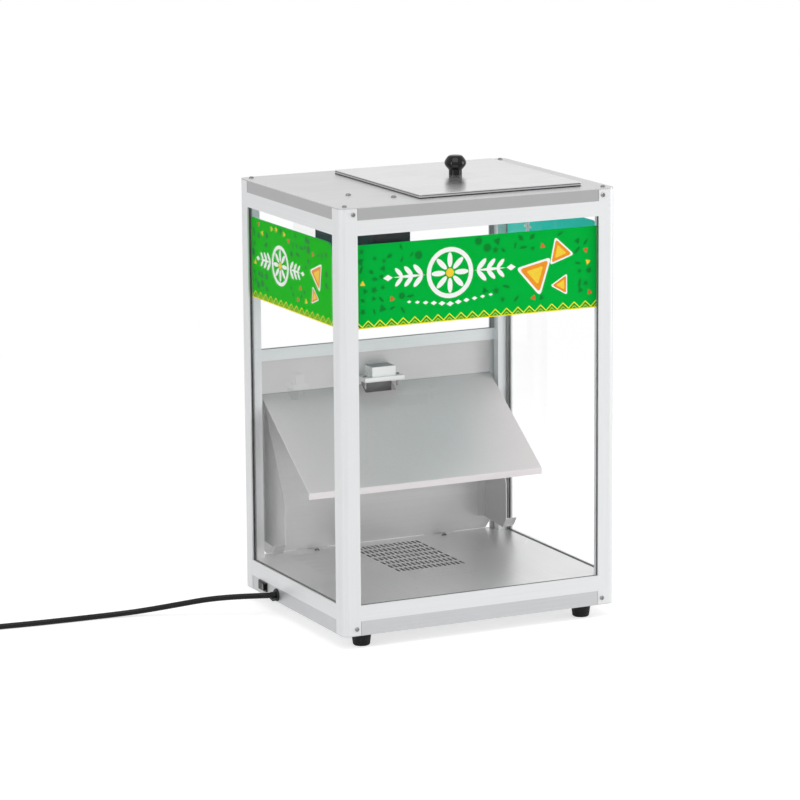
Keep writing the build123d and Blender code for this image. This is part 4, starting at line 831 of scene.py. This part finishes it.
def flower(plane, along, up):
    """A small white flower with a rust heart."""
    petals = [stamp(plane, "petal", "white", *round_place(along, up, FLOWER_WIDE / 2, angle), FLOWER_WIDE, angle)
              for angle in range(0, 360, 60)]
    return petals + [stamp(plane, "sun", "rust", along, up, FLOWER_WIDE / 3)]


for node, places in BACK_FLOWERS.items():
    plane = card_plane(node, inside=True)
    stamped = []
    for n, along in enumerate(places):
        stamped += flower(plane, along, FLOWER_LOW if n % 2 else FLOWER_HIGH)
    if node == "banner_right":
        low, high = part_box(node)
        stamped += flower(plane, (high[1] - SEEN_Y) / MM, (SEEN_Z - low[2]) / MM)
    join_by_ink(node + "_back", stamped)

for shape in MOTIF.values():
    bpy.data.objects.remove(shape)

# %% [markdown]
# ## Floor, backdrop and light
# A product picture on white: a large pale sheet under the warmer catches its shadow, and the world is white to
# the camera, to reflections and through glass, while it lights the object only gently. To the camera the sheet
# is made of two parts: some light of its own and some that it scatters, which together are white where nothing
# shades it. Far from the warmer it is plain white, so that no horizon shows.

# %% Helpers for the floor and the world
def seen_rays(tree):
    """1 for rays of the camera, of reflections and of refraction, 0 for those that light other things."""
    paths = add(tree, "LightPath").outputs
    both = calc(tree, "MAXIMUM", paths["Is Camera Ray"], paths["Is Transmission Ray"])
    return calc(tree, "MAXIMUM", both, paths["Is Glossy Ray"])


def mix_shaders(tree, share, first, second):
    """A shader between two others."""
    mixed = add(tree, "MixShader")
    tree.links.new(share, mixed.inputs[0])
    tree.links.new(first, mixed.inputs[1])
    tree.links.new(second, mixed.inputs[2])
    return mixed.outputs[0]


# %% Floor
FLOOR_SIZE = 12.0
FLOOR_GLOW, FLOOR_SCATTER, FLOOR_SHADE, FLOOR_ROUGH = 0.62, 0.62, 0.9, 0.6
NEAR, FAR = 0.9, 2.2

bpy.ops.mesh.primitive_plane_add(size=FLOOR_SIZE, location=(0, 0, 0))
floor = bpy.context.object
floor.name = "floor"
paper, tree, plain, place = start_material("floor_paper")
plain.inputs["Base Color"].default_value = (FLOOR_SHADE, FLOOR_SHADE, FLOOR_SHADE, 1)
plain.inputs["Roughness"].default_value = FLOOR_ROUGH
scatter_light = add(tree, "BsdfDiffuse", {"Color": (FLOOR_SCATTER, FLOOR_SCATTER, FLOOR_SCATTER, 1)})
own_light = add(tree, "Emission", {"Strength": FLOOR_GLOW})
together = add(tree, "AddShader")
tree.links.new(scatter_light.outputs[0], together.inputs[0])
tree.links.new(own_light.outputs[0], together.inputs[1])
far_white = add(tree, "Emission", {"Strength": 1.0})
distance = add(tree, "VectorMath", {0: place}, operation="LENGTH").outputs["Value"]
away = add(tree, "MapRange", {"Value": distance, "From Min": NEAR, "From Max": FAR},
           interpolation_type="SMOOTHSTEP")
shown = mix_shaders(tree, away.outputs[0], together.outputs[0], far_white.outputs[0])
sheet = mix_shaders(tree, seen_rays(tree), plain.outputs[0], shown)
tree.links.new(sheet, tree.nodes["Material Output"].inputs["Surface"])
floor.data.materials.append(paper)

# %% World: white to look at, gentler as a light
LIT_STRENGTH = 0.55
world = bpy.data.worlds.new("studio")
scene.world = world
world.use_nodes = True
sky = world.node_tree
sky.nodes.clear()
lit = add(sky, "Background", {"Color": (1, 1, 1, 1), "Strength": LIT_STRENGTH})
white = add(sky, "Background", {"Color": (1, 1, 1, 1), "Strength": 1.0})
output = add(sky, "OutputWorld")
sky.links.new(mix_shaders(sky, seen_rays(sky), lit.outputs[0], white.outputs[0]), output.inputs["Surface"])

# %% [markdown]
# ## Lamps
# Three soft panels, as in a small studio: a large one above and in front, one at the right, and a narrow one at
# the left that lights the side with the switch. Large panels give soft shadows and broad, quiet highlights.

# %% Lamps
MIDDLE = (0, 0, 0.3)
PANELS = {   # place, width, height, watts
    "top_panel": ((-0.6, -1.2, 2.6), 2.2, 1.6, 22),
    "side_panel": ((2.0, -1.0, 0.9), 0.8, 1.4, 16),
    "left_panel": ((-2.8, -1.0, 1.5), 0.5, 1.1, 13),
}


def panel(name, at, aim, wide, tall, watts):
    """A soft rectangular lamp at a place, turned towards a point."""
    bpy.ops.object.light_add(type="AREA", location=at)
    lamp = bpy.context.object
    lamp.name = name
    lamp.data.shape = "RECTANGLE"
    lamp.data.size = wide
    lamp.data.size_y = tall
    lamp.data.energy = watts
    lamp.rotation_euler = (Vector(aim) - Vector(at)).to_track_quat("-Z", "Y").to_euler()


for name, (at, wide, tall, watts) in PANELS.items():
    panel(name, at, MIDDLE, wide, tall, watts)
